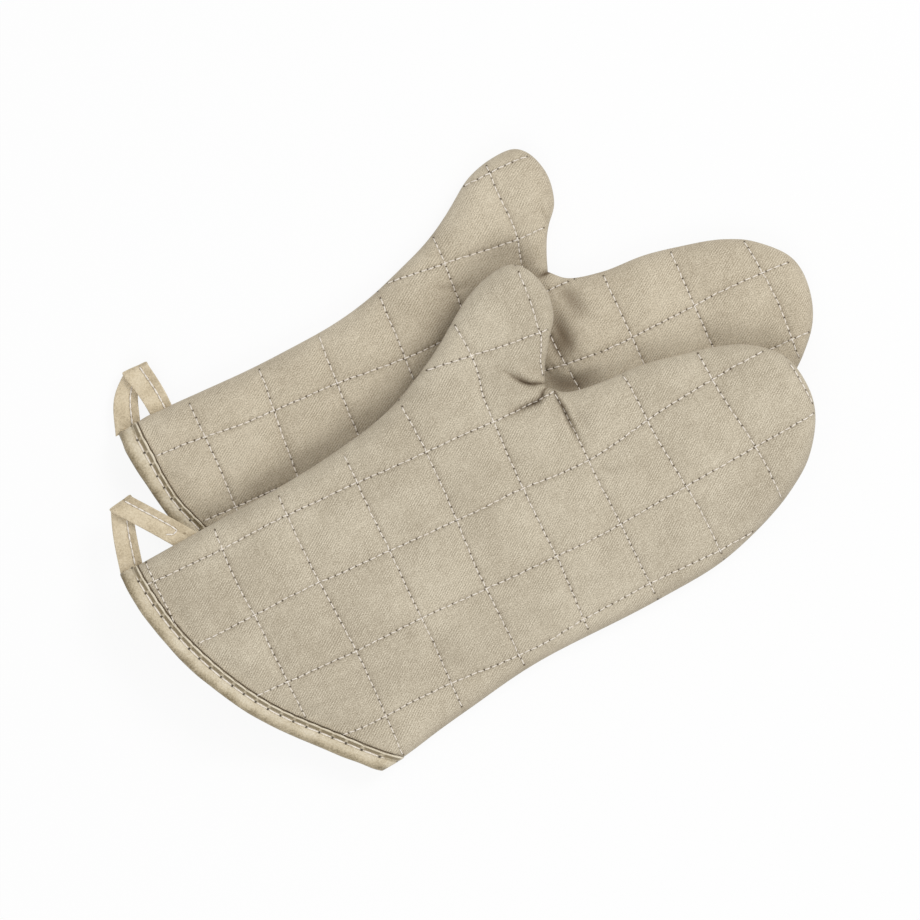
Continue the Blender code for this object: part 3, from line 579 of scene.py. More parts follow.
class Cut:
    """The flat cut of a glove: side seam, cuff, and the fold at the thumb's root."""

    def __init__(self):
        thumb_side = smooth_curve(np.array(UPPER_EDGE + THUMB_EDGE) * GLOVE_SIZE)
        finger_side = smooth_curve(np.array(FINGER_EDGE) * GLOVE_SIZE)
        self.root = thumb_side[ROOT_POINT]
        self.crotch = thumb_side[-1]
        self.seam = np.vstack([thumb_side, finger_side[1:]])
        self.thumb = thumb_side[ROOT_POINT:]
        self.corners = self.seam[0], self.seam[-1]
        self.fold = unit(self.crotch - self.root)
        self.fold_normal = np.array([-self.fold[1], self.fold[0]])
        self.fold_line = np.array([self.root, self.crotch])

        # The bowed cuff, from the upper corner to the lower one
        chord = self.corners[0] - self.corners[1]
        span = np.linalg.norm(chord)
        self.cuff_radius = span * span / (8 * CUFF_BOW) + CUFF_BOW / 2
        self.cuff_half = math.asin(span / 2 / self.cuff_radius)
        self.cuff_along = chord / span
        self.cuff_outward = np.array([-self.cuff_along[1], self.cuff_along[0]])
        self.cuff_centre = sum(self.corners) / 2 + self.cuff_outward * (CUFF_BOW - self.cuff_radius)
        self.cuff_length = 2 * self.cuff_half * self.cuff_radius
        self.cuff = self.cuff_place(np.linspace(0, self.cuff_length, 120))
        self.outline = np.vstack([self.seam, self.cuff[::-1][1:-1]])

    def cuff_place(self, reach):
        """Places at these distances along the cuff from its upper corner."""
        angles = self.cuff_half - reach / self.cuff_radius
        return self.cuff_centre + self.cuff_radius * (
            np.outer(np.cos(angles), self.cuff_outward) + np.outer(np.sin(angles), self.cuff_along)
        )

    def cuff_inward(self, reach):
        """The way into the glove from the cuff, turned along the side seams at its corners."""
        normal = -unit(self.cuff_place(reach) - self.cuff_centre)
        upper = unit(self.seam[CURVE_STEPS // 2] - self.seam[0])
        lower = unit(self.seam[-CURVE_STEPS // 2] - self.seam[-1])
        near_upper = 1 - ease(reach / UPPER_CORNER_RUN)[:, None]
        near_lower = 1 - ease((self.cuff_length - reach) / LOWER_CORNER_RUN)[:, None]
        way = unit(normal * (1 - near_upper) * (1 - near_lower) + upper * near_upper + lower * near_lower)
        return way / np.maximum((way * normal).sum(1), LEAST_STRAIGHT_SHARE)[:, None]

    def seam_points(self, spacing):
        """The side seam at an even spacing with the fold's two ends on it, and the way in from each point."""
        ends = [0, ROOT_POINT, CROTCH_POINT, len(self.seam) - 1]
        parts = [evenly(self.seam[a : b + 1], spacing) for a, b in zip(ends, ends[1:])]
        points = np.vstack([parts[0], parts[1][1:], parts[2][1:]])
        heading = unit(np.gradient(points, axis=0))
        return points, np.column_stack([heading[:, 1], -heading[:, 0]])


CUT = Cut()
REAR_SEAM_LOW = (turned(CUT.seam, REAR_TURN) + REAR_SHIFT)[:, 1].min()


class Glove:
    """One glove of the pair: its quilting, its creases and its place."""

    def __init__(self, name):
        self.name = name
        self.bends = QUILT_BENDS[name]
        turn = -PHOTO_TURN - (REAR_TURN if name == "rear" else 0)
        self.shifts = [
            (from_photo(name, [pixel]), turned(np.array(shift) * (PIXEL, -PIXEL), turn), width * PIXEL)
            for pixel, shift, width in SHIFTS_SEEN[name]
        ]
        self.creases = [
            (evenly(smooth_curve(self.seen(pixels), 8), 0.001), depth * MM, width * MM)
            for pixels, depth, width in CREASES_SEEN[name]
        ]
        self.quilt_fits = [self.fit_quilting(axis) for axis in (0, 1)]

    def shifted(self, places):
        """How far each place of the cut lies off it."""
        return sum(bell(places, centre, width) * shift for centre, shift, width in self.shifts)

    def seen(self, pixels):
        """Places of the cut that are seen at these pixels of the photograph."""
        target = from_photo(self.name, pixels)
        places = target
        for _ in range(8):
            places = target - self.shifted(places)
        return places

    def fit_quilting(self, axis):
        """What has to be added to the plain grid so that its lines run through the points seen on them."""
        rows = [row for row in QUILTING_SEEN[self.name] if row[axis] is not None]
        places = self.seen([row[2:] for row in rows])
        miss = np.array([row[axis] for row in rows]) * QUILT_PITCH - self.plain_quilt(places)[:, axis]
        weights = np.linalg.solve(bell(places, places, QUILT_PITCH) + FIT_SOFTNESS * np.eye(len(rows)), miss)
        return places, weights

    def plain_quilt(self, places):
        """Places on a straight quilting grid, from the way that the grid bends to the fingers and the thumb."""
        x, y = places.T
        past = x - FINGER_BEND_START
        spread = np.hypot(past, FINGER_BEND_SOFTNESS)
        thumb = ramp(y, THUMB_GRID_START, THUMB_GRID_RUN)
        tilt = thumb * self.bends["thumb_tilt"] * (x - THUMB_TILT_CENTRE)
        bend = self.bends["finger_bend"] * (spread + past) / 2
        slope = self.bends["finger_bend"] * (1 + past / spread) / 2
        across = x + self.bends["offset"][0] + slope * (y - STRAIGHT_LEVEL) * (1 - thumb)
        up = y + self.bends["offset"][1] - bend * (1 - thumb) + tilt
        return np.column_stack([across, up + self.bends["thumb_crowd"] * np.maximum(0, y - THUMB_CROWD_START)])

    def to_quilt(self, places):
        """Places of the cut as places on a straight quilting grid, through the points that were seen."""
        quilt = self.plain_quilt(places)
        for axis, (centres, weights) in enumerate(self.quilt_fits):
            quilt[:, axis] += bell(places, centres, QUILT_PITCH) @ weights
            quilt[:, axis] += QUILT_WANDER * soft_noise(places, QUILT_WANDER_SIZE, 11 + axis)
        return quilt

    def from_quilt(self, places):
        guess = places - self.bends["offset"]
        for _ in range(14):
            guess = guess + 0.85 * (places - self.to_quilt(guess))
        return guess

    def rise(self, places):
        """How far the front glove stands up on the rear one, down to nothing where it hangs to the floor."""
        if self.name == "rear":
            return np.zeros(len(places))
        return STACK_RISE * ease((places[:, 1] - REAR_SEAM_LOW - DRAPE_MARGIN) / DRAPE_RUN + 1)

    def pressed(self, places):
        """How far the edge of the front glove presses the rear one down, on both sides of that edge."""
        if self.name == "front":
            return np.zeros(len(places))
        over = turned(places, REAR_TURN) + REAR_SHIFT
        distance = near_line(over, CUT.outline[::2])[0]
        under = inside(over, CUT.outline[::2])
        share = ease(1 - distance / np.where(under, PRESS_UNDER, PRESS_REACH))
        to_cuff = PRESS_CUFF_SHARE + (1 - PRESS_CUFF_SHARE) * ramp(over[:, 0], PRESS_CUFF_START, PRESS_CUFF_RUN)
        to_tip = 1 - (1 - PRESS_TIP_SHARE) * ramp(over[:, 0], PRESS_TIP_START, PRESS_TIP_RUN)
        return PRESS_DEPTH * share * to_cuff * to_tip

    def in_world(self, places, height):
        """Places of the cut at a height above the seam plane, in the frame of the pair."""
        tall = SEAM_HEIGHT + self.rise(places) + height
        tall = tall - self.pressed(places) * ease(height / PRESSED_HEIGHT)
        places = places + self.shifted(places)
        if self.name == "rear":
            places = turned(places, REAR_TURN) + REAR_SHIFT
        return np.column_stack([places + PAIR_PLACE, tall])

    def direction(self, flat):
        flat = turned(np.array(flat)[None], REAR_TURN)[0] if self.name == "rear" else np.array(flat)
        return np.array([*flat, 0.0])

    def creased(self, places, wide=False):
        """How far creases pull each place down. The plies below keep clear of them by taking the wide form."""
        total = np.zeros(len(places))
        for line, depth, width in self.creases:
            close = (np.abs(places - line.mean(0)) < CREASE_SEARCH).all(1)
            distance, along = near_line(places[close], line)
            share = along / reaches(line)[-1]
            sharp = width < DENT_WIDTH
            fading = ramp(share, CREASE_FULL_SHARE, 1 - CREASE_FULL_SHARE)
            taper = 1 - fading if sharp else np.sin(math.pi * share)
            if wide:
                valley = WIDE_DEPTH_SHARE * depth * hump(distance, width * WIDE_WIDTH_SHARE + WIDE_MARGIN)
            else:
                reach = width * (1 + CREASE_WIDENING_SHARE * share)
                valley = depth * hump(distance, reach)
                if sharp:
                    valley = 0.5 * valley + 0.5 * depth * np.exp(-distance / (CREASE_CORE_SHARE * reach))
                valley -= SHOULDER_SHARE * depth * hump(distance - SHOULDER_REACHES * reach, reach)
            total[close] += taper * valley
        return np.minimum(total, WIDE_LIMIT) if wide else total

    def shape(self, places, side, wide=False):
        """Height of the shell's outer face off the seam plane, on the upper side (1) or the lower one (-1)."""
        to_seam = near_line(places, CUT.seam)[0]
        to_cuff = near_line(places, CUT.cuff)[0]
        share = np.clip(to_seam / RIM_WIDTH, 0, 1)
        rim = np.sqrt(1 - (1 - share) ** 2)
        quilt = self.to_quilt(places)
        waves = np.abs(np.sin(math.pi * quilt / QUILT_PITCH))
        off_line = (np.abs((quilt / QUILT_PITCH + 0.5) % 1 - 0.5) * QUILT_PITCH).min(1)
        free = ramp(to_cuff, BINDING_WIDTH, CUFF_FADE) * ease(to_seam / SEAM_FADE)
        uneven = sum(part * soft_noise(places, size, seed) for part, size, seed in UNEVEN_NOISES)
        if side > 0:
            groove = hump(off_line, GROOVE_WIDTH) * ease(to_seam / GROOVE_FADE)
            crown = CROWN * waves.prod(1) ** PILLOW_POWER
            crown = crown * (1 + PILLOW_CHANGE * soft_noise(quilt, QUILT_PITCH, 7))
            height = SHELL_HEIGHT + (crown + UNEVEN_HEIGHT * uneven - GROOVE_DEPTH * groove) * free
            height -= self.creased(places, wide) * ease(to_seam / CREASE_FADE)
            height -= LIP_GROOVE_DEPTH * hump(to_cuff - LIP_DEPTH - LIP_GAP, LIP_GROOVE_WIDTH)
        else:
            step = ramp(to_cuff, UNDER_STEP_START, UNDER_STEP_RUN)
            height = SHELL_HEIGHT + (UNDER_HEIGHT - SHELL_HEIGHT) * step
            groove = UNDER_GROOVE_DEPTH * hump(off_line, UNDER_GROOVE_WIDTH)
            height -= (groove + UNDER_UNEVEN_HEIGHT * (1 + uneven)) * free
        return HALF_SEAM_GAP + (height - HALF_SEAM_GAP) * rim

    def wear(self, places):
        """Painted shade at each place: darkest in a crease, also where the rear glove is pressed and along the
        lower edge; and its distance from the cuff.
        """
        dark = np.clip(self.creased(places) / DARK_DEPTH, 0, 1) ** DARK_POWER
        dark = dark + PRESS_SHADE * self.pressed(places) / PRESS_DEPTH
        low_edge = hump(near_line(places, CUT.seam)[0], LOW_EDGE_WIDTH)
        low_edge = low_edge * ramp(-places[:, 1], LOW_EDGE_START, LOW_EDGE_RUN)
        dark = np.clip(dark + LOW_EDGE_SHADE * low_edge, 0, 1)
        return np.column_stack([dark, near_line(places, CUT.cuff)[0]])


class Pattern:
    """A triangulated cut whose rows follow a glove's quilting lines, and which is split at the thumb's fold."""

    def __init__(self, glove, spacing, steps, rings, detailed=False):
        self.glove = glove
        seam, inward = CUT.seam_points(min(spacing, BORDER_SPACING))
        cuff = evenly(CUT.cuff, spacing)[1:-1][::-1]
        border = np.vstack([seam, cuff])
        fold = evenly(CUT.fold_line, spacing)[1:-1]
        places = [border, fold]
        room = LINE_SHARE * spacing
        for depth in RIM_WIDTH * (1 - np.cos(np.linspace(0, math.pi / 2, rings + 1)[1:])):
            ring = seam[1:-1] + inward[1:-1] * depth
            clear = clear_of(ring, (CUT.seam, RING_SHARE * depth), (CUT.fold_line, room), (CUT.cuff, room))
            if detailed and depth > RING_CREASE_DEPTH:
                clear &= ~self.in_creases(ring)
            places.append(ring[clear & inside(ring, CUT.outline)])
        if detailed:
            places += [self.across_rim(line, width) for line, _, width in glove.creases if width < DENT_WIDTH]
        marks, levels = (
            (lines[:, None] + np.array(steps)[None]).ravel() * QUILT_PITCH
            for lines in (QUILT_COLUMNS, QUILT_ROWS)
        )
        grid = glove.from_quilt(crossings(marks, levels))
        grid = grid[inside(grid, CUT.outline)]
        clear = clear_of(
            grid, (CUT.seam, RIM_WIDTH + room), (CUT.cuff, CUFF_SHARE * spacing), (CUT.fold_line, room)
        )
        if detailed:
            clear &= np.abs(near_line(grid, CUT.cuff)[0] - LIP_DEPTH) > GRID_TO_LIP
            along = np.arange(LIP_ROWS_END, CUT.cuff_length - LIP_ROWS_END, spacing)
            for depth in LIP_ROWS:
                row = CUT.cuff_place(along) + CUT.cuff_inward(along) * (LIP_DEPTH + depth)
                places.append(row[clear_of(row, (CUT.seam, LIP_ROWS_TO_SEAM))])
            clear &= ~self.in_creases(grid)
            close = crossings(CREASE_TICKS, CREASE_TICKS)
            close = close[self.in_creases(close)]
            close = close[inside(close, CUT.outline)]
            places.append(close[clear_of(close, (CUT.seam, CREASE_TO_SEAM), (CUT.fold_line, CREASE_TO_FOLD))])
        places.append(grid[clear])
        places = np.vstack(places)

        count = len(border)
        root = int(np.linalg.norm(seam - CUT.root, axis=1).argmin())
        crotch = int(np.linalg.norm(seam - CUT.crotch, axis=1).argmin())
        path = [root, *range(count, count + len(fold)), crotch]
        made = delaunay_2d_cdt(
            [Vector(place) for place in places], list(zip(path, path[1:])), [list(range(count))[::-1]], 1,
            SAME_PLACE,
        )
        self.places = np.array([tuple(place) for place in made[0]])
        triangles = np.array(made[2])
        turn = signed_areas(self.places, triangles)
        triangles[turn < 0] = triangles[turn < 0][:, ::-1]
        self.triangles = triangles[np.abs(turn) > NO_AREA]
        self.thumb = on_thumb(self.places[self.triangles].mean(1))
        distance, along = near_line(self.places, seam)
        reach = reaches(seam)
        way = unit(np.stack([np.interp(along, reach, inward[:, k]) for k in (0, 1)], axis=-1))
        share = np.clip(distance / RIM_WIDTH, 0, 1)
        self.inset = way * (1 - share)[:, None]
        self.rim = np.sqrt(1 - (1 - share) ** 2)
        self.sunk = glove.creased(self.places, True)

        # The cloth runs on round the rim, so its map is longer there than the plan
        round_rim = RIM_WIDTH * (np.arcsin(1 - share) - (1 - share))
        self.maps = {
            "cloth": self.places - way * round_rim[:, None], "quilt": glove.to_quilt(self.places),
            "wear": glove.wear(self.places),
        }

    def across_rim(self, line, width):
        """Close points on a thin crease where it runs over the rim."""
        heading = unit(np.gradient(line, axis=0))
        side = np.column_stack([-heading[:, 1], heading[:, 0]])
        rows = np.vstack([line + side * width * widths for widths in RIM_CREASE_WIDTHS])
        rows = rows[inside(rows, CUT.outline)]
        to_seam = near_line(rows, CUT.seam)[0]
        rows = rows[(to_seam > RIM_CREASE_START) & (to_seam < RIM_CREASE_END)]
        return rows[clear_of(rows, (CUT.fold_line, RIM_CREASE_START))]

    def in_creases(self, places):
        found = np.zeros(len(places), bool)
        for line, _, width in self.glove.creases:
            close = (np.abs(places - line.mean(0)) < CREASE_SEARCH).all(1)
            found[close] |= near_line(places[close], line)[0] < CREASE_MESH_WIDTHS * width
        return found

    def shell(self, side, wide=False):
        """The outer face of the shell and the way out of it, at every place of the pattern."""
        face = self.glove.in_world(self.places, side * self.glove.shape(self.places, side, wide))
        return face, point_normals(face, self.triangles) * side

    def flat(self, side, height, inset):
        """A plain face of an inner ply, which ends this far in from the seam and gives way to creases."""
        height = height - (self.sunk if side > 0 else 0)
        tall = side * (HALF_SEAM_GAP + (height - HALF_SEAM_GAP) * self.rim)
        return self.glove.in_world(self.places + self.inset * inset, tall)

    def part(self, name):
        return self.triangles[self.thumb if name == "thumb" else ~self.thumb]


def point_normals(points, triangles):
    a, b, c = (points[triangles[:, k]] for k in range(3))
    cross = np.cross(b - a, c - a)
    total = np.zeros_like(points)
    for k in range(3):
        np.add.at(total, triangles[:, k], cross)
    return unit(total)


def new_object(name, data):
    item = bpy.data.objects.new(name, data)
    bpy.context.scene.collection.objects.link(item)
    return item


def mesh_piece(name, points, faces, material, loop_normals=None, maps=None):
    """A mesh object in place, with its faces given as arrays of point numbers."""
    mesh = bpy.data.meshes.new(name)
    mesh.from_pydata([tuple(p) for p in points], [], [tuple(f) for f in faces])
    mesh.materials.append(material)
    mesh.update()
    mesh.shade_smooth()
    for label, values in (maps or {}).items():
        layer = mesh.uv_layers.new(name=label)
        layer.data.foreach_set("uv", np.asarray(values, np.float32).ravel())
    if loop_normals is not None:
        mesh.normals_split_custom_set([tuple(n) for n in loop_normals])
    return new_object(name, mesh)


def close_up(piece):
    """Joins points that meet and turns the faces of a closed piece outwards."""
    work = bmesh.new()
    work.from_mesh(piece.data)
    bmesh.ops.remove_doubles(work, verts=work.verts, dist=SAME_PLACE)
    bmesh.ops.recalc_face_normals(work, faces=work.faces)
    work.to_mesh(piece.data)
    work.free()
    piece.data.update()


def sheet_piece(name, pattern, part, side, outer, inner, outer_normals, inner_normals, material):
    """A closed sheet of one ply, over the hand or the thumb, between its outer and its inner face."""
    used, local = np.unique(pattern.part(part), return_inverse=True)
    chosen = local.reshape(-1, 3)
    count = len(used)
    edges = np.concatenate([chosen[:, [0, 1]], chosen[:, [1, 2]], chosen[:, [2, 0]]])
    keys = edges[:, 0] * count + edges[:, 1]
    border = edges[~np.isin(keys, edges[:, 1] * count + edges[:, 0])]
    a, b = border[:, 0], border[:, 1]
    walls = np.vstack([np.column_stack([b, a, a + count]), np.column_stack([b, a + count, b + count])])
    faces = [chosen, chosen[:, ::-1] + count, walls]
    if side < 0:
        faces = [face[:, ::-1] for face in faces]
    walls = faces[2]
    points = np.vstack([outer[used], inner[used]])
    normals = np.vstack([outer_normals[used], -inner_normals[used]])
    corners = points[walls]
    wall_normals = unit(np.cross(corners[:, 1] - corners[:, 0], corners[:, 2] - corners[:, 0]))
    loop_normals = np.vstack([normals[np.vstack(faces[:2]).ravel()], np.repeat(wall_normals, 3, axis=0)])
    faces = np.vstack(faces)
    both = np.concatenate([used, used])[faces.ravel()]
    maps = {label: values[both] for label, values in pattern.maps.items()}
    return mesh_piece(name, points, faces, material, loop_normals, maps)


# Materials

def add_node(tree, kind, inputs=None, **settings):
    """A node with its settings, whose inputs are numbers, colours or sockets to link from."""
    node = tree.nodes.new(kind)
    for key, value in settings.items():
        setattr(node, key, value)
    for socket, value in (inputs or {}).items():
        if isinstance(value, bpy.types.NodeSocket):
            tree.links.new(value, node.inputs[socket])
        else:
            node.inputs[socket].default_value = value
    return node


def maths(tree, operation, *values, clamp=False):
    inputs = dict(enumerate(values))
    return add_node(tree, "ShaderNodeMath", inputs, operation=operation, use_clamp=clamp).outputs[0]


def vector_maths(tree, operation, *values):
    return add_node(tree, "ShaderNodeVectorMath", dict(enumerate(values)), operation=operation).outputs[0]


def smooth_range(tree, value, low, high, first=0.0, last=1.0):
    inputs = {"Value": value, "From Min": low, "From Max": high, "To Min": first, "To Max": last}
    return add_node(tree, "ShaderNodeMapRange", inputs, interpolation_type="SMOOTHSTEP").outputs[0]


def mixed(tree, factor, first, second, blend_type="MIX"):
    inputs = {0: factor, 6: first, 7: second}
    return add_node(tree, "ShaderNodeMix", inputs, data_type="RGBA", blend_type=blend_type).outputs[2]


def noise(tree, vector, stretch, scale=1.0, detail=2.0):
    """Noise from 0 to 1 on a map that is first stretched along its axes."""
    stretched = vector_maths(tree, "MULTIPLY", vector, stretch)
    return plain_noise(tree, stretched, scale, detail)


def plain_noise(tree, vector, scale, detail):
    return add_node(tree, "ShaderNodeTexNoise", {"Vector": vector, "Scale": scale, "Detail": detail}).outputs[0]


def own_space(tree):
    return add_node(tree, "ShaderNodeTexCoord").outputs["Object"]


def uv_map(tree, name):
    return add_node(tree, "ShaderNodeUVMap", uv_map=name).outputs[0]


def use_group(tree, name, inputs):
    return add_node(tree, "ShaderNodeGroup", inputs, node_tree=GROUPS[name]).outputs


def give_relief(tree, shader, height, strength, distance):
    bump = add_node(tree, "ShaderNodeBump", {"Height": height, "Strength": strength, "Distance": distance})
    tree.links.new(bump.outputs[0], shader.inputs["Normal"])


def new_group(name, inputs, outputs):
    """An empty shader node group with named sockets, and its two end nodes."""
    tree = bpy.data.node_groups.new(name, "ShaderNodeTree")
    for label, kind, value in inputs:
        socket = tree.interface.new_socket(label, in_out="INPUT", socket_type=kind)
        if value is not None:
            socket.default_value = value
    for label in outputs:
        tree.interface.new_socket(label, in_out="OUTPUT", socket_type="NodeSocketFloat")
    return tree, tree.nodes.new("NodeGroupInput").outputs, tree.nodes.new("NodeGroupOutput").inputs


def twill_weave_group():
    """Fine diagonal ribs with uneven yarns, a salt and pepper grain and pale flecks, on a map in metres."""
    tree, given, result = new_group(
        "Twill weave",
        [
            ("Map", "NodeSocketVector", None),
            ("Rib pitch", "NodeSocketFloat", 0.0012),
            ("Rib angle", "NodeSocketFloat", 0.65),
            ("Flecks", "NodeSocketFloat", 0.5),
        ],
        ["Tone", "Height"],
    )
    pitch = add_node(tree, "ShaderNodeCombineXYZ", {k: given["Rib pitch"] for k in (0, 1, 2)}).outputs[0]
    scaled = vector_maths(tree, "DIVIDE", given["Map"], pitch)
    along = add_node(
        tree, "ShaderNodeVectorRotate", {"Vector": scaled, "Angle": given["Rib angle"]}, rotation_type="Z_AXIS"
    ).outputs[0]
    across = add_node(tree, "ShaderNodeSeparateXYZ", {0: along}).outputs[1]
    wander = maths(tree, "MULTIPLY_ADD", noise(tree, along, (0.05, 0.13, 1.0)), 1.3, across)
    ribs = maths(tree, "SINE", maths(tree, "MULTIPLY", wander, 2 * math.pi))
    strength = smooth_range(tree, noise(tree, scaled, (0.10, 0.10, 1.0)), 0.36, 0.64, 0.25, 1.0)
    ribs = maths(tree, "MULTIPLY", ribs, strength)
    streaks = noise(tree, along, (0.13, 1.15, 1.0))
    warp = noise(tree, scaled, (1.3, 0.10, 1.0))
    weft = noise(tree, scaled, (0.10, 1.3, 1.0))
    grain = noise(tree, scaled, (2.0, 2.0, 1.0), 1.0, 3.0)
    flecks = smooth_range(tree, noise(tree, scaled, (1.6, 1.6, 1.0), 1.0, 0.0), 0.72, 0.82)
    tone = maths(tree, "MULTIPLY_ADD", ribs, 0.25, 0.5 - 0.5 * (0.35 + 2.5 + 0.35 + 0.35))
    for value, amount in ((streaks, 0.35), (grain, 2.5), (warp, 0.35), (weft, 0.35), (flecks, given["Flecks"])):
        tone = maths(tree, "MULTIPLY_ADD", value, amount, tone)
    tree.links.new(tone, result["Tone"])
    height = maths(tree, "MULTIPLY_ADD", grain, 1.2, ribs)
    tree.links.new(maths(tree, "ADD", height, streaks), result["Height"])
    return tree


def quilting_group():
    """Needle holes, painted shade beside the lines and drawn-in cloth along the quilting, on a map where its
    lines are straight.
    """
    tree, given, result = new_group(
        "Quilting marks",
        [
            ("Map", "NodeSocketVector", None),
            ("Quilt pitch", "NodeSocketFloat", QUILT_PITCH),
            ("Stitch pitch", "NodeSocketFloat", STITCH_PITCH),
            ("Hole size", "NodeSocketFloat", 0.00074),
        ],
        ["Hole", "Valley", "Pucker"],
    )
    parts = add_node(tree, "ShaderNodeSeparateXYZ", {0: given["Map"]}).outputs
    half_quilt = maths(tree, "MULTIPLY", given["Quilt pitch"], 0.5)
    half_stitch = maths(tree, "MULTIPLY", given["Stitch pitch"], 0.5)
    holes, valley_shades, puckers = [], [], []
    for across, along in ((parts[0], parts[1]), (parts[1], parts[0])):
        centred = maths(tree, "WRAP", across, half_quilt, maths(tree, "MULTIPLY", half_quilt, -1.0))
        off = maths(tree, "ABSOLUTE", centred)
        step = maths(tree, "WRAP", along, half_stitch, maths(tree, "MULTIPLY", half_stitch, -1.0))
        squares = maths(tree, "ADD", maths(tree, "POWER", off, 2.0), maths(tree, "POWER", step, 2.0))
        gap = maths(tree, "DIVIDE", maths(tree, "SQRT", squares), given["Hole size"])
        line_number = maths(tree, "DIVIDE", maths(tree, "SUBTRACT", across, centred), given["Quilt pitch"])
        hole_number = maths(tree, "DIVIDE", maths(tree, "SUBTRACT", along, step), given["Stitch pitch"])
        place = add_node(tree, "ShaderNodeCombineXYZ", {0: line_number, 1: hole_number}).outputs[0]
        counted = vector_maths(tree, "SNAP", vector_maths(tree, "ADD", place, (0.5, 0.5, 0.5)), (1, 1, 1))
        chance = add_node(tree, "ShaderNodeTexWhiteNoise", {"Vector": counted}, noise_dimensions="2D").outputs
        shown = smooth_range(tree, chance[0], 0.05, 0.55, 0.2, 1.0)
        holes.append(maths(tree, "MULTIPLY", smooth_range(tree, gap, 0.45, 1.0, 1.0, 0.0), shown))
        # Painted shade: the cloth is darker close to each quilting line
        valley_shades.append(smooth_range(tree, off, 0.0003, 0.0030, 1.0, 0.0))
        wave = maths(tree, "COSINE", maths(tree, "MULTIPLY", maths(tree, "DIVIDE", step, half_stitch), math.pi))
        puckers.append(maths(tree, "MULTIPLY", wave, smooth_range(tree, off, 0.0004, 0.0036, 1.0, 0.0)))
    tree.links.new(maths(tree, "MAXIMUM", *holes), result["Hole"])
    tree.links.new(maths(tree, "MAXIMUM", *valley_shades), result["Valley"])
    tree.links.new(maths(tree, "ADD", *puckers), result["Pucker"])
    return tree


def cloth_tone_group():
    """Soft patches where a cloth is lighter or darker, in the object's own space."""
    tree, given, result = new_group(
        "Cloth tone",
        [("Place", "NodeSocketVector", None), ("Patch scale", "NodeSocketFloat", 30.0)],
        ["Patch", "Mottle"],
    )
    finer = maths(tree, "MULTIPLY", given["Patch scale"], 9.0)
    for scale, detail, label in ((given["Patch scale"], 2.0, "Patch"), (finer, 3.0, "Mottle")):
        found = plain_noise(tree, given["Place"], scale, detail)
        tree.links.new(smooth_range(tree, found, 0.25, 0.75), result[label])
    return tree


def new_material(name, roughness, sheen=0.0, specular=0.5):
    material = bpy.data.materials.new(name)
    material.use_nodes = True
    shader = material.node_tree.nodes["Principled BSDF"]
    shader.inputs["Roughness"].default_value = roughness
    shader.inputs["Sheen Weight"].default_value = sheen
    shader.inputs["Specular IOR Level"].default_value = specular
    return material, material.node_tree, shader


def colour(red, green, blue):
    """A linear colour from the 0 to 255 values of a display."""
    def linear(value):
        value = value / 255
        return value / 12.92 if value < 0.04045 else ((value + 0.055) / 1.055) ** 2.4
    return (linear(red), linear(green), linear(blue), 1.0)


def tones(name):
    return [colour(*tone) for tone in TONES[name]]


def three_tones(tree, factor, dark, middle, light):
    found = add_node(tree, "ShaderNodeValToRGB", {0: factor})
    stops = found.color_ramp.elements
    stops[0].position, stops[0].color = 0.0, dark
    stops[1].position, stops[1].color = 1.0, light
    stops.new(0.5).color = middle
    return found.outputs[0]


def twill_material(name):
    dark, middle, light, hole = tones(name)
    material, tree, shader = new_material(name, 0.9, sheen=0.10, specular=0.2)
    place = own_space(tree)
    inputs = {"Map": uv_map(tree, "cloth"), "Rib pitch": 0.00122, "Rib angle": -0.64, "Flecks": 0.45}
    weave = use_group(tree, "weave", inputs)
    marks = use_group(tree, "quilting", {0: uv_map(tree, "quilt")})
    tone = use_group(tree, "tone", {"Place": place, "Patch scale": 26.0})
    factor = maths(tree, "MULTIPLY_ADD", tone["Patch"], 0.24, weave["Tone"])
    factor = maths(tree, "MULTIPLY_ADD", tone["Mottle"], 0.12, maths(tree, "SUBTRACT", factor, 0.18))
    base = three_tones(tree, factor, dark, middle, light)
    # Painted shade in the valleys beside the quilting lines
    base = mixed(tree, maths(tree, "MULTIPLY", marks["Valley"], 0.15), base, dark)
    base = mixed(tree, maths(tree, "MULTIPLY", marks["Hole"], 0.85), base, hole)
    # Painted shade: darker in creases, where the rear glove is pressed and along the lower edge, and a dark
    # line in the gap beside the binding's lip
    painted_shade_map = add_node(tree, "ShaderNodeSeparateXYZ", {0: uv_map(tree, "wear")}).outputs
    to_lip = maths(tree, "ABSOLUTE", maths(tree, "SUBTRACT", painted_shade_map[1], LIP_DEPTH + LIP_GAP))
    shade = maths(tree, "MULTIPLY", smooth_range(tree, to_lip, 0.0001, 0.0006, 1.0, 0.0), 0.95)
    shade = maths(tree, "MAXIMUM", shade, maths(tree, "MULTIPLY", painted_shade_map[0], 0.88))
    base = mixed(tree, shade, base, tones("shade")[0])
    tree.links.new(base, shader.inputs["Base Color"])
    relief = maths(tree, "MULTIPLY_ADD", weave["Height"], 0.22, maths(tree, "MULTIPLY", marks["Pucker"], -0.8))
    relief = maths(tree, "MULTIPLY_ADD", marks["Hole"], -1.2, relief)
    give_relief(tree, shader, relief, 0.75, 0.00028)
    return material


def plain_cloth_material(name, roughness, weave_pitch, sheen=0.1):
    """Lining and wadding: a plain pale cloth with a fine weave."""
    dark, light = tones(name)
    material, tree, shader = new_material(name, roughness, sheen=sheen, specular=0.2)
    place = own_space(tree)
    weave = use_group(tree, "weave", {0: uv_map(tree, "cloth"), 1: weave_pitch})
    tone = use_group(tree, "tone", {"Place": place, "Patch scale": 60.0})
    factor = maths(tree, "MULTIPLY_ADD", tone["Patch"], 0.3, weave["Tone"], clamp=True)
    tree.links.new(mixed(tree, factor, dark, light), shader.inputs["Base Color"])
    give_relief(tree, shader, weave["Height"], 0.4, 0.0002)
    return material


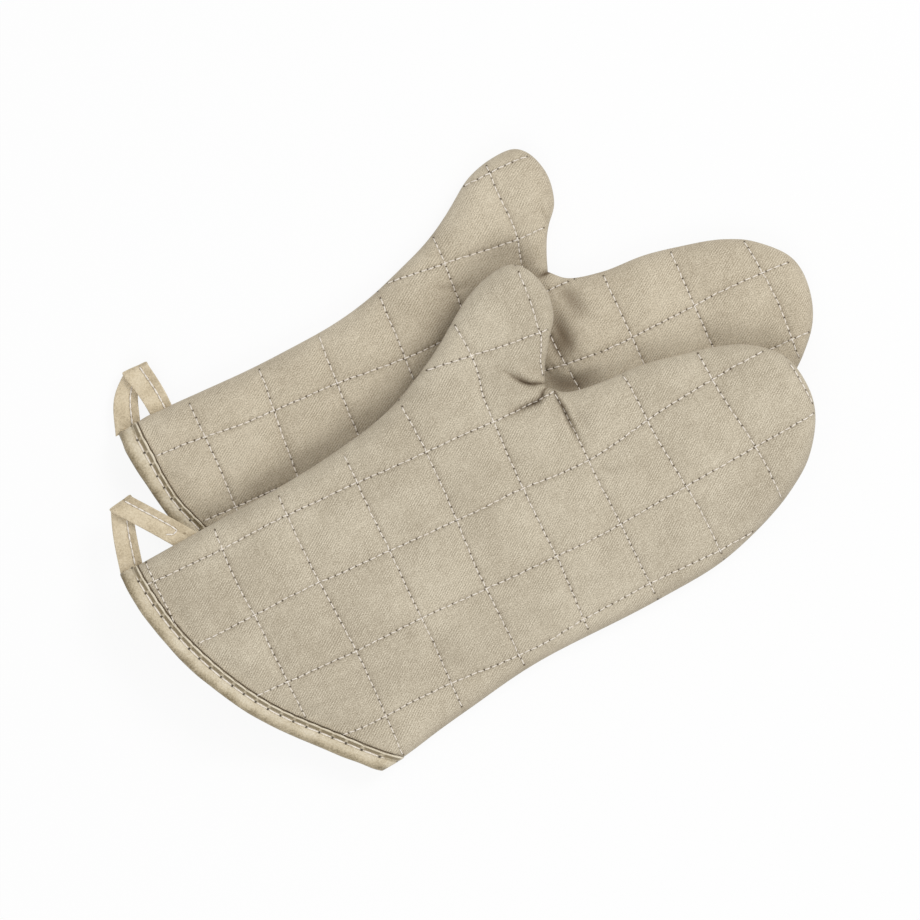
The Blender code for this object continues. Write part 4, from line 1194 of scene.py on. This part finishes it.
def tape_material(name, stitch_pitch, strip_shade, strip_end, edge_shade):
    """Smooth woven tape: a soft shine, cloudy tone, fine ribs, needle holes, and painted shade along its seam
    and in a strip past it; the binding also gets painted light near its seam and on its lip, and painted shade
    towards its outer edge.
    """
    dark, middle, light, hole = tones(name)
    material, tree, shader = new_material(name, 0.5, sheen=0.12, specular=0.45)
    place = own_space(tree)
    parts = add_node(tree, "ShaderNodeSeparateXYZ", {0: uv_map(tree, "cloth")}).outputs
    weft = maths(tree, "SINE", maths(tree, "MULTIPLY", parts[0], 2 * math.pi / 0.00062))
    warp = maths(tree, "SINE", maths(tree, "MULTIPLY", parts[1], 2 * math.pi / 0.00055))
    weave = maths(tree, "MULTIPLY", weft, warp)
    tone = use_group(tree, "tone", {"Place": place, "Patch scale": 95.0})
    grain = noise(tree, place, (1800, 1800, 1800), 1.0, 2.0)
    factor = maths(tree, "MULTIPLY_ADD", tone["Patch"], 0.28, -0.01)
    for value, amount in ((tone["Mottle"], 0.24), (weave, 0.05), (grain, 0.5)):
        factor = maths(tree, "MULTIPLY_ADD", value, amount, factor)
    off = add_node(tree, "ShaderNodeSeparateXYZ", {0: uv_map(tree, "seam")}).outputs
    # Painted light and shade across the binding: darker towards the outer edge, lighter from near the seam
    # inwards and lightest on the lip past the strip; edge_shade is nothing on the loop
    darker = smooth_range(tree, off[1], -0.0066, -0.0022, edge_shade, -0.4 * edge_shade)
    lighter = smooth_range(tree, off[1], strip_end - 0.0002, strip_end + 0.0002, 0.0, edge_shade)
    factor = maths(tree, "ADD", maths(tree, "SUBTRACT", factor, darker), lighter)
    step = maths(tree, "WRAP", off[0], stitch_pitch / 2, -stitch_pitch / 2)
    squares = maths(tree, "ADD", maths(tree, "POWER", off[1], 2.0), maths(tree, "POWER", step, 2.0))
    holes = smooth_range(tree, maths(tree, "SQRT", squares), 0.0004, 0.0009, 1.0, 0.0)
    # Painted shade: darker along the drawn-in seam and in the strip past it, less so where the stitches pinch
    # the strip flat
    drawn = smooth_range(tree, maths(tree, "ABSOLUTE", off[1]), 0.0002, 0.0010, 0.4, 0.0)
    strip = smooth_range(tree, off[1], 0.0004, 0.0009)
    strip = maths(tree, "MULTIPLY", strip, smooth_range(tree, off[1], strip_end - 0.0004, strip_end, 1.0, 0.0))
    pinch = smooth_range(tree, maths(tree, "ABSOLUTE", step), 0.0002, 0.0012, 0.35, 1.0)
    strip = maths(tree, "MULTIPLY", strip, maths(tree, "MULTIPLY", pinch, strip_shade))
    base = three_tones(tree, factor, dark, middle, light)
    base = mixed(tree, maths(tree, "MAXIMUM", strip, drawn), base, dark)
    base = mixed(tree, maths(tree, "MULTIPLY", holes, 0.9), base, hole)
    tree.links.new(base, shader.inputs["Base Color"])
    tree.links.new(smooth_range(tree, tone["Mottle"], 0.0, 1.0, 0.42, 0.60), shader.inputs["Roughness"])
    relief = maths(tree, "MULTIPLY_ADD", tone["Mottle"], 1.5, maths(tree, "MULTIPLY", weave, 0.2))
    relief = maths(tree, "MULTIPLY_ADD", holes, -1.5, relief)
    give_relief(tree, shader, relief, 0.5, 0.0003)
    return material


def thread_material(name):
    """Spun thread: close twists, a little soiled in places."""
    dark, light = tones(name)
    material, tree, shader = new_material(name, 0.7, sheen=0.2, specular=0.3)
    place = own_space(tree)
    twist = plain_noise(tree, place, 1500.0, 2.0)
    tree.links.new(mixed(tree, smooth_range(tree, twist, 0.3, 0.7), dark, light), shader.inputs["Base Color"])
    give_relief(tree, shader, twist, 0.5, 0.0001)
    return material


GROUPS = {"weave": twill_weave_group(), "quilting": quilting_group(), "tone": cloth_tone_group()}
MATERIALS = {
    "front_twill": twill_material("front_twill"),
    "rear_twill": twill_material("rear_twill"),
    "lining_cloth": plain_cloth_material("lining_cloth", roughness=0.9, weave_pitch=0.0008),
    "batting": plain_cloth_material("cotton_wadding", roughness=1.0, weave_pitch=0.004, sheen=0.3),
    "binding": tape_material(
        "binding_tape", stitch_pitch=BINDING_STITCH_PITCH, strip_shade=0.85, strip_end=0.0024, edge_shade=0.32
    ),
    "loop": tape_material("loop_tape", stitch_pitch=0.0062, strip_shade=0.30, strip_end=0.0036, edge_shade=0.0),
    "thread": thread_material("cotton_thread"),
}


# Stitches

def stitch_tree():
    """Lays one stitch of thread along every edge of a line of needle holes."""
    tree = bpy.data.node_groups.new("Stitches along a seam", "GeometryNodeTree")
    tree.interface.new_socket("Seam", in_out="INPUT", socket_type="NodeSocketGeometry")
    for label, kind, value in (
        ("Thread width", "NodeSocketFloat", 0.0007),
        ("Thread height", "NodeSocketFloat", 0.0005),
        ("Share of gap", "NodeSocketFloat", 0.9),
        ("Sway", "NodeSocketFloat", 0.05),
        ("Seed", "NodeSocketInt", 3),
        ("Thread", "NodeSocketMaterial", None),
    ):
        socket = tree.interface.new_socket(label, in_out="INPUT", socket_type=kind)
        if value is not None:
            socket.default_value = value
    tree.interface.new_socket("Stitches", in_out="OUTPUT", socket_type="NodeSocketGeometry")
    given = tree.nodes.new("NodeGroupInput").outputs
    result = tree.nodes.new("NodeGroupOutput").inputs

    ends = add_node(tree, "GeometryNodeInputMeshEdgeVertices").outputs
    run = vector_maths(tree, "SUBTRACT", ends["Position 2"], ends["Position 1"])
    capture = tree.nodes.new("GeometryNodeCaptureAttribute")
    capture.domain = "EDGE"
    capture.capture_items.new("VECTOR", "run")
    tree.links.new(given["Seam"], capture.inputs["Geometry"])
    tree.links.new(run, capture.inputs["run"])
    points = add_node(tree, "GeometryNodeMeshToPoints", {"Mesh": capture.outputs["Geometry"]}, mode="EDGES")
    kept_run = capture.outputs["run"]
    length = add_node(tree, "ShaderNodeVectorMath", {0: kept_run}, operation="LENGTH").outputs["Value"]
    sway = add_node(tree, "FunctionNodeRandomValue", {"Seed": given["Seed"]}, data_type="FLOAT_VECTOR")
    sway.inputs[0].default_value = (-1, -1, -0.3)
    sway.inputs[1].default_value = (1, 1, 0.3)
    amount = maths(tree, "MULTIPLY", length, given["Sway"])
    swayed = add_node(tree, "ShaderNodeVectorMath", {0: sway.outputs[0], "Scale": amount}, operation="SCALE")
    heading = vector_maths(tree, "ADD", kept_run, swayed.outputs[0])
    turn = add_node(tree, "FunctionNodeAlignRotationToVector", {"Vector": heading}, axis="X")
    ball = add_node(tree, "GeometryNodeMeshUVSphere", {"Segments": 8, "Rings": 6, "Radius": 0.5})
    lying = add_node(tree, "GeometryNodeTransform", {"Geometry": ball.outputs["Mesh"]})
    lying.inputs["Rotation"].default_value = (0, math.pi / 2, 0)
    share = maths(tree, "MULTIPLY", length, given["Share of gap"])
    sizes = {0: share, 1: given["Thread width"], 2: given["Thread height"]}
    size = add_node(tree, "ShaderNodeCombineXYZ", sizes).outputs[0]
    placed = add_node(
        tree,
        "GeometryNodeInstanceOnPoints",
        {"Points": points.outputs[0], "Instance": lying.outputs[0], "Rotation": turn.outputs[0], "Scale": size},
    )
    real = add_node(tree, "GeometryNodeRealizeInstances", {0: placed.outputs[0]})
    smooth = add_node(tree, "GeometryNodeSetShadeSmooth", {"Geometry": real.outputs[0]})
    finish = add_node(
        tree, "GeometryNodeSetMaterial", {"Geometry": smooth.outputs[0], "Material": given["Thread"]}
    )
    tree.links.new(finish.outputs[0], result["Stitches"])
    return tree


STITCHES = stitch_tree()


def stitched(name, body, points, edges, width, share, sway):
    """The thread of a seam on this body, one stitch on each pair of needle holes, as a plain mesh."""
    mesh = bpy.data.meshes.new(name + "_holes")
    mesh.from_pydata([tuple(p) for p in points], [tuple(e) for e in edges], [])
    holder = new_object(name + "_holes", mesh)
    modifier = holder.modifiers.new("stitches", "NODES")
    modifier.node_group = STITCHES
    values = {
        "Thread width": width, "Thread height": THREAD_HEIGHT_SHARE * width, "Share of gap": share,
        "Sway": sway, "Seed": 3, "Thread": MATERIALS["thread"],
    }
    for item in STITCHES.interface.items_tree:
        if item.in_out == "INPUT" and item.name in values:
            modifier[item.identifier] = values[item.name]
    bpy.context.view_layer.update()
    made = bpy.data.meshes.new_from_object(holder.evaluated_get(bpy.context.evaluated_depsgraph_get()))
    made.name = name
    holder.modifiers.clear()
    bpy.data.objects.remove(holder, do_unlink=True)
    piece = new_object(name, made)
    if body:
        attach(piece, body)
    return piece


def quilting_holes(glove, side):
    """Needle holes along every quilting line of a panel, and the pairs that a stitch joins."""
    half = int(QUILTING_REACH / STITCH_PITCH)
    along = np.arange(-half, half + 1) * STITCH_PITCH
    chance = np.random.default_rng(17)
    places = []
    for line in range(QUILT_COLUMNS[0] - 2, QUILT_COLUMNS[-1] + 2):
        for level in (False, True):
            across = line * QUILT_PITCH + HOLE_STRAY * chance.uniform(-1, 1, len(along))
            flat = glove.from_quilt(np.column_stack([along, across] if level else [across, along]))
            kept = inside(flat, CUT.outline)
            limits = (CUT.seam, HOLES_TO_SEAM), (CUT.cuff, LIP_DEPTH - HOLES_UNDER_LIP)
            kept[kept] = clear_of(flat[kept], *limits)
            for k in np.nonzero(kept[:-1] & kept[1:])[0]:
                places += [flat[k], flat[k + 1]]
    places = np.array(places)
    pairs = np.arange(len(places)).reshape(-1, 2)
    thumb = on_thumb(places.reshape(-1, 2, 2).mean(1))
    lift = THREAD_LIFT + THREAD_RIM_LIFT * np.clip(1 - near_line(places, CUT.seam)[0] / RIM_WIDTH, 0, 1)
    return glove.in_world(places, side * (glove.shape(places, side) + lift)), pairs, thumb


# Pieces of a glove

def carry(piece, glove, part):
    """Hand pieces ride on the glove; a thumb piece has its place baked into its points, and the start and end
    of its bend from the fold are worked out but not used.
    """
    if part == "hand":
        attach(piece, glove.name + "_glove")
        return
    middle = (CUT.root + CUT.crotch) / 2
    start = glove.in_world(middle[None], np.array([SHELL_HEIGHT]))[0]
    end = start + glove.direction(CUT.fold_normal) * BEND_REACH
    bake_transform(piece)


def flat_size(pattern, part):
    """Width, length and area of the flat cut of a part."""
    chosen = pattern.part(part)
    area = np.abs(signed_areas(pattern.places, chosen)).sum() / 2
    length, width = np.ptp(pattern.places[chosen].reshape(-1, 2), axis=0)
    return (float(width), float(length)), float(area)


def panel_pieces(glove):
    """Shell, wadding, lining and quilting thread of both panels, over the hand and over the thumb."""
    fine, under, plain = (Pattern(glove, **mesh) for mesh in (UPPER_MESH, LOWER_MESH, INNER_MESH))
    for side, level in ((1, "upper"), (-1, "lower")):
        pattern = fine if side > 0 else under
        outer, outer_ways = pattern.shell(side)
        inner = outer - outer_ways * SHELL_CLOTH
        plain_outer, plain_ways = plain.shell(side, True)
        wadding_outer = plain_outer - plain_ways * (SHELL_CLOTH + PLY_GAP)
        wadding_outer[:, 2] -= side * WADDING_SINK * plain.rim
        wadding_inner = plain.flat(side, WADDING_INNER, WADDING_INSET)
        lining_outer = plain.flat(side, LINING_OUTER, LINING_INSET)
        lining_inner = plain.flat(side, LINING_INNER, LINING_INNER_INSET)
        inner_ways, lining_ways, lining_inner_ways = (
            point_normals(face, plain.triangles) * side for face in (wadding_inner, lining_outer, lining_inner)
        )
        plies = (
            ("_cover", "_shell", glove.name + "_twill", pattern, outer, inner, outer_ways, outer_ways),
            ("_wadding", "_batting", "batting", plain, wadding_outer, wadding_inner, plain_ways, inner_ways),
            (
                "_inner_cloth", "_lining", "lining_cloth", plain,
                lining_outer, lining_inner, lining_ways, lining_inner_ways,
            ),
        )
        holes, pairs, in_thumb = quilting_holes(glove, side)
        for part in ("hand", "thumb"):
            prefix = f"{glove.name}_{level}" if part == "hand" else f"{glove.name}_thumb_{level}"
            pieces = []
            for ending, node, slot, layout, *faces in plies:
                piece = sheet_piece(prefix + ending, layout, part, side, *faces, MATERIALS[slot])
                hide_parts(prefix + node)
                pieces.append(piece)
            shell, wadding, lining = pieces
            chosen = pairs[in_thumb if part == "thumb" else ~in_thumb]
            thread = stitched(prefix + "_quilting", None, holes, chosen, **QUILTING_THREAD)
            for piece in (shell, wadding, lining, thread):
                carry(piece, glove, part)
            flat, area = flat_size(pattern, part)


# The cuff binding

def binding_profile(wave, uneven, ripple):
    """Depth in from the cuff and height off the seam plane of every edge of the tape, from its lip on."""
    full = SHELL_HEIGHT + PLY_GAP
    seam = BINDING_SEAM_DEPTH
    width = LIP_DEPTH - LIP_BACK + LIP_WAVE * wave + LIP_UNEVEN * uneven
    lip = LIP_HEIGHT + LIP_SWELL * wave
    flat = np.zeros(len(wave))
    rows = [(width - back, full + lip * share) for back, share in LIP_EDGES]
    rows += [(seam + (width - seam) * along, full + TAPE_LIFT + lip * share) for along, share in LIP_SHARES]
    rows.append((seam + flat, full + TAPE_LIFT + flat))
    for share in PLUMP_SHARES:
        plump = min(1, (1 - share) / PLUMP_RISE_SHARE) ** 0.5
        raised = (PLUMP_HEIGHT + PLUMP_UNEVEN * uneven + PLUMP_RIPPLE * ripple) * plump
        rows.append((seam * share + flat, full + raised))
    face_rows = len(rows)
    top, low = rows[-1][1], LINING_INNER - INNER_TAPE
    for turn in np.linspace(0, math.pi, EDGE_ROWS)[1:-1]:
        out = -EDGE_OUT * math.sin(turn) ** EDGE_POWER - EDGE_UNEVEN * uneven * math.sin(turn)
        rows.append((out, (top + low) / 2 + (top - low) / 2 * math.cos(turn)))
    rows += [(width * share, low + step + flat) for share, step in INNER_SHARES]
    inner = LINING_INNER - INNER_GAP
    turned_in, turned_height = INNER_TURN
    rows += [(width, inner + flat), (flat, inner + flat), (flat - turned_in, turned_height + flat)]
    rows += [(flat, full + flat), (width - LAST_BACK, full + flat)]
    return rows, face_rows


def binding_piece(glove):
    """A tape folded over the cut edge of both panels, plump at the edge and drawn in at its seam."""
    body = glove.name + "_glove"
    length = CUT.cuff_length
    pitch = length / round(length / BINDING_STITCH_PITCH)
    corner = np.linspace(0, math.pi / 2, BINDING_CORNER_ROWS)
    middle = np.linspace(RIM_WIDTH, length - RIM_WIDTH, round((length - 2 * RIM_WIDTH) / BINDING_SPACING))
    stations = [(0.0, angle, 1) for angle in corner[:-1]]
    stations += [(reach, math.pi / 2, 1) for reach in middle]
    stations += [(length, angle, 1) for angle in corner[-2::-1]]
    stations += [(reach, angle, -1) for reach, angle, _ in stations[-2:0:-1]]
    reach, angle, side = np.array(stations).T
    is_middle = (reach > 0) & (reach < length)

    def around(height):
        """Distance along the cuff and height of every station, at this height off the seam plane."""
        run = CORNER_RUN + (np.minimum(height, SHELL_HEIGHT + CORNER_TOP) - LINING_INNER) * CORNER_SLOPE
        near = RIM_WIDTH - run * np.cos(angle)
        place = np.where(is_middle, reach, np.where(reach <= 0, near, length - near))
        return place, side * height * np.sin(angle)

    along = around(SHELL_HEIGHT)[0]
    wave = np.abs(np.sin(math.pi * along / pitch)) ** WAVE_POWER
    around_map = np.column_stack([along + side, side])
    uneven, ripple = soft_noise(around_map, WIDE_BUMPS, 21), soft_noise(around_map, SMALL_BUMPS, 22)
    slip = CUFF_SLIP[glove.name] * np.where(side < 0, np.sin(angle), 0)
    points, cloth, seam_map = [], [], []
    travelled = np.zeros(len(along))
    rows, face_rows = binding_profile(wave, uneven, ripple)
    for number, (depth, height) in enumerate(rows):
        distance, tall = around(height)
        way = CUT.cuff_inward(np.clip(distance, 0, length))
        place = glove.in_world(CUT.cuff_place(distance) + way * (depth - slip)[:, None], tall)
        place[:, 2] = np.maximum(place[:, 2], FLOOR_CLEAR)
        if points:
            travelled = travelled + np.linalg.norm(place - points[-1], axis=1)
        points.append(place)
        cloth.append(np.column_stack([along, travelled]))
        off = depth - BINDING_SEAM_DEPTH if number < face_rows else np.full(len(along), NO_SEAM)
        seam_map.append(np.column_stack([along * BINDING_STITCH_PITCH / pitch, off]))
    count, ring = len(along), len(rows)
    points, cloth, seam_map = (
        np.array(values).transpose(1, 0, 2).reshape(count * ring, -1) for values in (points, cloth, seam_map)
    )
    here = np.arange(count)[:, None] * ring
    there = (np.arange(count)[:, None] + 1) % count * ring
    i, j = np.arange(ring)[None], (np.arange(ring)[None] + 1) % ring
    faces = np.stack([here + i, there + i, there + j, here + j], axis=-1).reshape(-1, 4)
    maps = {"cloth": cloth[faces.ravel()], "seam": seam_map[faces.ravel()]}
    piece = mesh_piece(glove.name + "_binding", points, faces, MATERIALS["binding"], None, maps)
    close_up(piece)
    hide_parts(glove.name + "_cuff_binding")
    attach(piece, body)

    # Its seam, through both panels
    marks = np.arange(1, round(length / pitch)) * pitch
    marks = np.array([END_STITCH_SHARE * pitch, *marks, length - END_STITCH_SHARE * pitch])
    flat = CUT.cuff_place(marks) + CUT.cuff_inward(marks) * BINDING_SEAM_DEPTH
    edge = np.minimum(marks, length - marks)
    height = SHELL_HEIGHT + PLY_GAP + BINDING_THREAD_LIFT
    lift = np.sqrt(1 - (1 - np.clip(edge / RIM_WIDTH, 0, 1)) ** 2) * height
    holes = np.vstack([glove.in_world(flat, lift), glove.in_world(flat, -lift)])
    first = np.arange(len(marks) - 1)
    first = np.concatenate([first, first + len(marks)])
    pairs = np.column_stack([first, first + 1])
    stitched(glove.name + "_binding_seam", body, holes, pairs, **BINDING_THREAD)


# The hanging loop

def loop_piece(glove):
    """A folded tape, turned over flat at its tip, with both legs sewn in at the upper corner of the cuff."""
    plan = LOOPS[glove.name]
    spread, half = plan["spread"], TAPE_WIDTH / 2
    upper = CUT.seam[:ROOT_POINT]
    roots = plan["root"] * GLOVE_SIZE[0] + np.array([0, spread])
    roots = np.column_stack([roots, np.interp(roots, upper[:, 0], upper[:, 1])])
    run = unit(roots[1] - roots[0])
    out = np.array([-run[1], run[0]])
    origin = roots[0] + out * LOOP_START
    axes = np.column_stack([run, out])
    tip = (np.array(plan["tip"]) * GLOVE_SIZE - origin) @ axes
    second = np.array([spread, 0.0])
    rising, falling = unit(tip), unit(second - tip)
    fold = turned(unit(rising + falling), plan["tilt"])
    over = np.array([-fold[1], fold[0]])
    over = over if over @ rising > 0 else -over
    across = np.array([-rising[1], rising[0]]), np.array([falling[1], -falling[0]])

    def meet(place, way, line_place, line_way):
        """Where a line through a place meets another line."""
        return place + way * np.linalg.solve(np.column_stack([way, -line_way]), line_place - place)[0]

    # Rails run along the tape, from the first root over the fold at the tip to the second root
    level = np.array([1.0, 0.0])
    bow = plan["bow"] * np.sin(math.pi * np.linspace(0, 1, LEG_POINTS) ** BOW_POWER)[:, None]
    arc = np.linspace(0, math.pi, FOLD_POINTS + 2)[1:-1, None]
    rails = []
    for share in TAPE_SHARES:
        root = meet(across[0] * share * half, rising, FIRST_ROOT, level)
        knee = meet(across[0] * share * half, rising, tip, fold)
        foot = meet(second + across[1] * share * half, falling, SECOND_ROOT, level)
        t = np.linspace(0, 1, LEG_POINTS)[:, None]
        rails.append(np.vstack([
            root + (knee - root) * t + across[0] * bow,
            knee + over * FOLD_OUT * np.sin(arc),
            knee + (foot - knee) * t - across[1] * bow * SECOND_BOW_SHARE,
        ]))
    rails = np.array(rails)

    # The first leg lies lower, the second leg over it, and both come together at the roots
    turn = np.concatenate([np.zeros(LEG_POINTS), arc[:, 0], np.full(LEG_POINTS, math.pi)])
    share = np.concatenate([np.linspace(0, 1, LEG_POINTS), np.ones(FOLD_POINTS), np.linspace(1, 0, LEG_POINTS)])
    height = LOOP_LEVEL - (ROOT_GAP + LEG_GAP * ease(share / LEG_GAP_SHARE)) * np.cos(turn)
    sideways = np.sin(turn)[:, None] * over
    reach = reaches(rails[len(TAPE_SHARES) // 2])
    points, maps = [], []
    for face in (1, -1):
        for rail, share, plump in zip(rails, TAPE_SHARES, TAPE_PLUMP_SHARES):
            wobble = 1 + TAPE_UNEVEN * soft_noise(rail + NOISE_OFFSET, TAPE_BUMPS, 31 + (face > 0))
            offset = face * LOOP_TAPE / 2 * plump * wobble
            flat = (rail + sideways * offset[:, None]) @ axes.T
            base = glove.in_world(np.repeat(origin[None], len(rail), axis=0), height + np.cos(turn) * offset)
            base[:, :2] += turned(flat, REAR_TURN) if glove.name == "rear" else flat
            points.append(base)
            maps.append(np.column_stack([reach, np.full(len(rail), share * half)]))
    count, wide = rails.shape[1], len(TAPE_SHARES)
    ring = 2 * wide
    order = [*range(wide), *range(ring - 1, wide - 1, -1)]
    points, maps = np.array(points)[order], np.array(maps)[order]
    faces = [
        (k * count + s, (k + 1) % ring * count + s, (k + 1) % ring * count + s + 1, k * count + s + 1)
        for k in range(ring) for s in range(count - 1)
    ]
    for s in (0, count - 1):
        for k in range(wide - 1):
            faces.append(tuple(n * count + s for n in (k, k + 1, ring - 2 - k, ring - 1 - k)))
    loops = np.array(faces).ravel()
    cloth = maps.reshape(-1, 2)
    seam_map = np.column_stack([cloth[:, 0], -cloth[:, 1] - (half - LOOP_SEAM_DEPTH)])
    piece = mesh_piece(
        glove.name + "_loop", points.reshape(-1, 3), faces, MATERIALS["loop"], None,
        {"cloth": cloth[loops], "seam": seam_map[loops]},
    )
    close_up(piece)
    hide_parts(glove.name + "_hanging_loop")
    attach(piece, glove.name + "_loop")

    # One row of stitches near an edge of the tape, which hooks across it at the second root
    above, below = points[:wide], points[: wide - 1 : -1]
    seam_share = LOOP_SEAM_DEPTH / half - 1
    last = count - HOOK_START if plan["hook"] else count - 1
    rising_line = [at_share(above[:, s], seam_share) for s in range(1, LEG_POINTS)]
    falling_line = [at_share(below[:, s], seam_share) for s in range(LEG_POINTS + FOLD_POINTS, last)]
    for share, back in HOOK_SHARES if plan["hook"] else ():
        falling_line.append(at_share(below[:, count - back], seam_share + share))
    holes, pairs = [], []
    for line in (rising_line, falling_line):
        marks = evenly(np.array(line) + LOOP_THREAD_LIFT, LOOP_STITCH_PITCH)
        pairs += [(len(holes) + n, len(holes) + n + 1) for n in range(len(marks) - 1)]
        holes += list(marks)
    stitched(glove.name + "_loop_seam", glove.name + "_loop", holes, pairs, **LOOP_THREAD)


def at_share(points, share):
    """A point between the rails of a tape, at a share of its half width."""
    return np.array([np.interp(share, TAPE_SHARES, points[:, k]) for k in range(3)])


# The floor, the light and the camera

def set_the_stage():
    white = (1.0, 1.0, 1.0, 1.0)
    world = bpy.data.worlds.new("soft_room")
    bpy.context.scene.world = world
    world.use_nodes = True
    tree = world.node_tree
    tree.nodes.clear()
    path = add_node(tree, "ShaderNodeLightPath").outputs
    seen = maths(tree, "MAXIMUM", path["Is Camera Ray"], path["Is Glossy Ray"])
    seen = maths(tree, "MAXIMUM", seen, path["Is Transmission Ray"])
    room = add_node(tree, "ShaderNodeBackground", {"Color": white, "Strength": ROOM_LIGHT})
    bright = add_node(tree, "ShaderNodeBackground", {"Color": white, "Strength": 1.0})
    both = add_node(tree, "ShaderNodeMixShader", {0: seen, 1: room.outputs[0], 2: bright.outputs[0]})
    add_node(tree, "ShaderNodeOutputWorld", {0: both.outputs[0]})

    floor_material = bpy.data.materials.new("pale_floor")
    floor_material.use_nodes = True
    tree = floor_material.node_tree
    tree.nodes.clear()
    path = add_node(tree, "ShaderNodeLightPath").outputs
    paint = add_node(tree, "ShaderNodeBsdfDiffuse", {"Color": (FLOOR_TONE, FLOOR_TONE, FLOOR_TONE, 1.0)})
    glow = add_node(tree, "ShaderNodeEmission", {"Color": white, "Strength": 1.0})
    amount = maths(tree, "MULTIPLY", path["Is Camera Ray"], FLOOR_GLOW_SHARE)
    both = add_node(tree, "ShaderNodeMixShader", {0: amount, 1: paint.outputs[0], 2: glow.outputs[0]})
    add_node(tree, "ShaderNodeOutputMaterial", {0: both.outputs[0]})
    corners = [(FLOOR_HALF * x, FLOOR_HALF * y, FLOOR_LEVEL) for x, y in ((-1, -1), (1, -1), (1, 1), (-1, 1))]
    mesh_piece("floor", corners, [(0, 1, 2, 3)], floor_material)

    for name, (place, size, power) in LAMPS.items():
        data = bpy.data.lights.new(name, "AREA")
        data.shape = "DISK"
        data.size = size
        data.energy = power
        item = new_object(name, data)
        item.location = place
        item.rotation_euler = (-Vector(place)).to_track_quat("-Z", "Y").to_euler()

    camera = new_object("camera", bpy.data.cameras.new("camera"))
    middle = from_photo("front", [PHOTO_MIDDLE])[0] + PAIR_PLACE
    camera.location = (*middle, CAMERA_HEIGHT)
    camera.rotation_euler = (0, 0, -PHOTO_TURN)
    camera.data.sensor_width = SENSOR_WIDTH
    camera.data.lens = SENSOR_WIDTH * (CAMERA_HEIGHT - SHARP_HEIGHT) / (2 * PHOTO_MIDDLE[0] * PIXEL)
    bpy.context.scene.camera = camera
    bpy.context.scene.view_settings.view_transform = "Standard"


def main():
    for name in ("rear", "front"):
        glove = Glove(name)
        panel_pieces(glove)
        binding_piece(glove)
        loop_piece(glove)
    set_the_stage()


main()
bpy.context.view_layer.update()
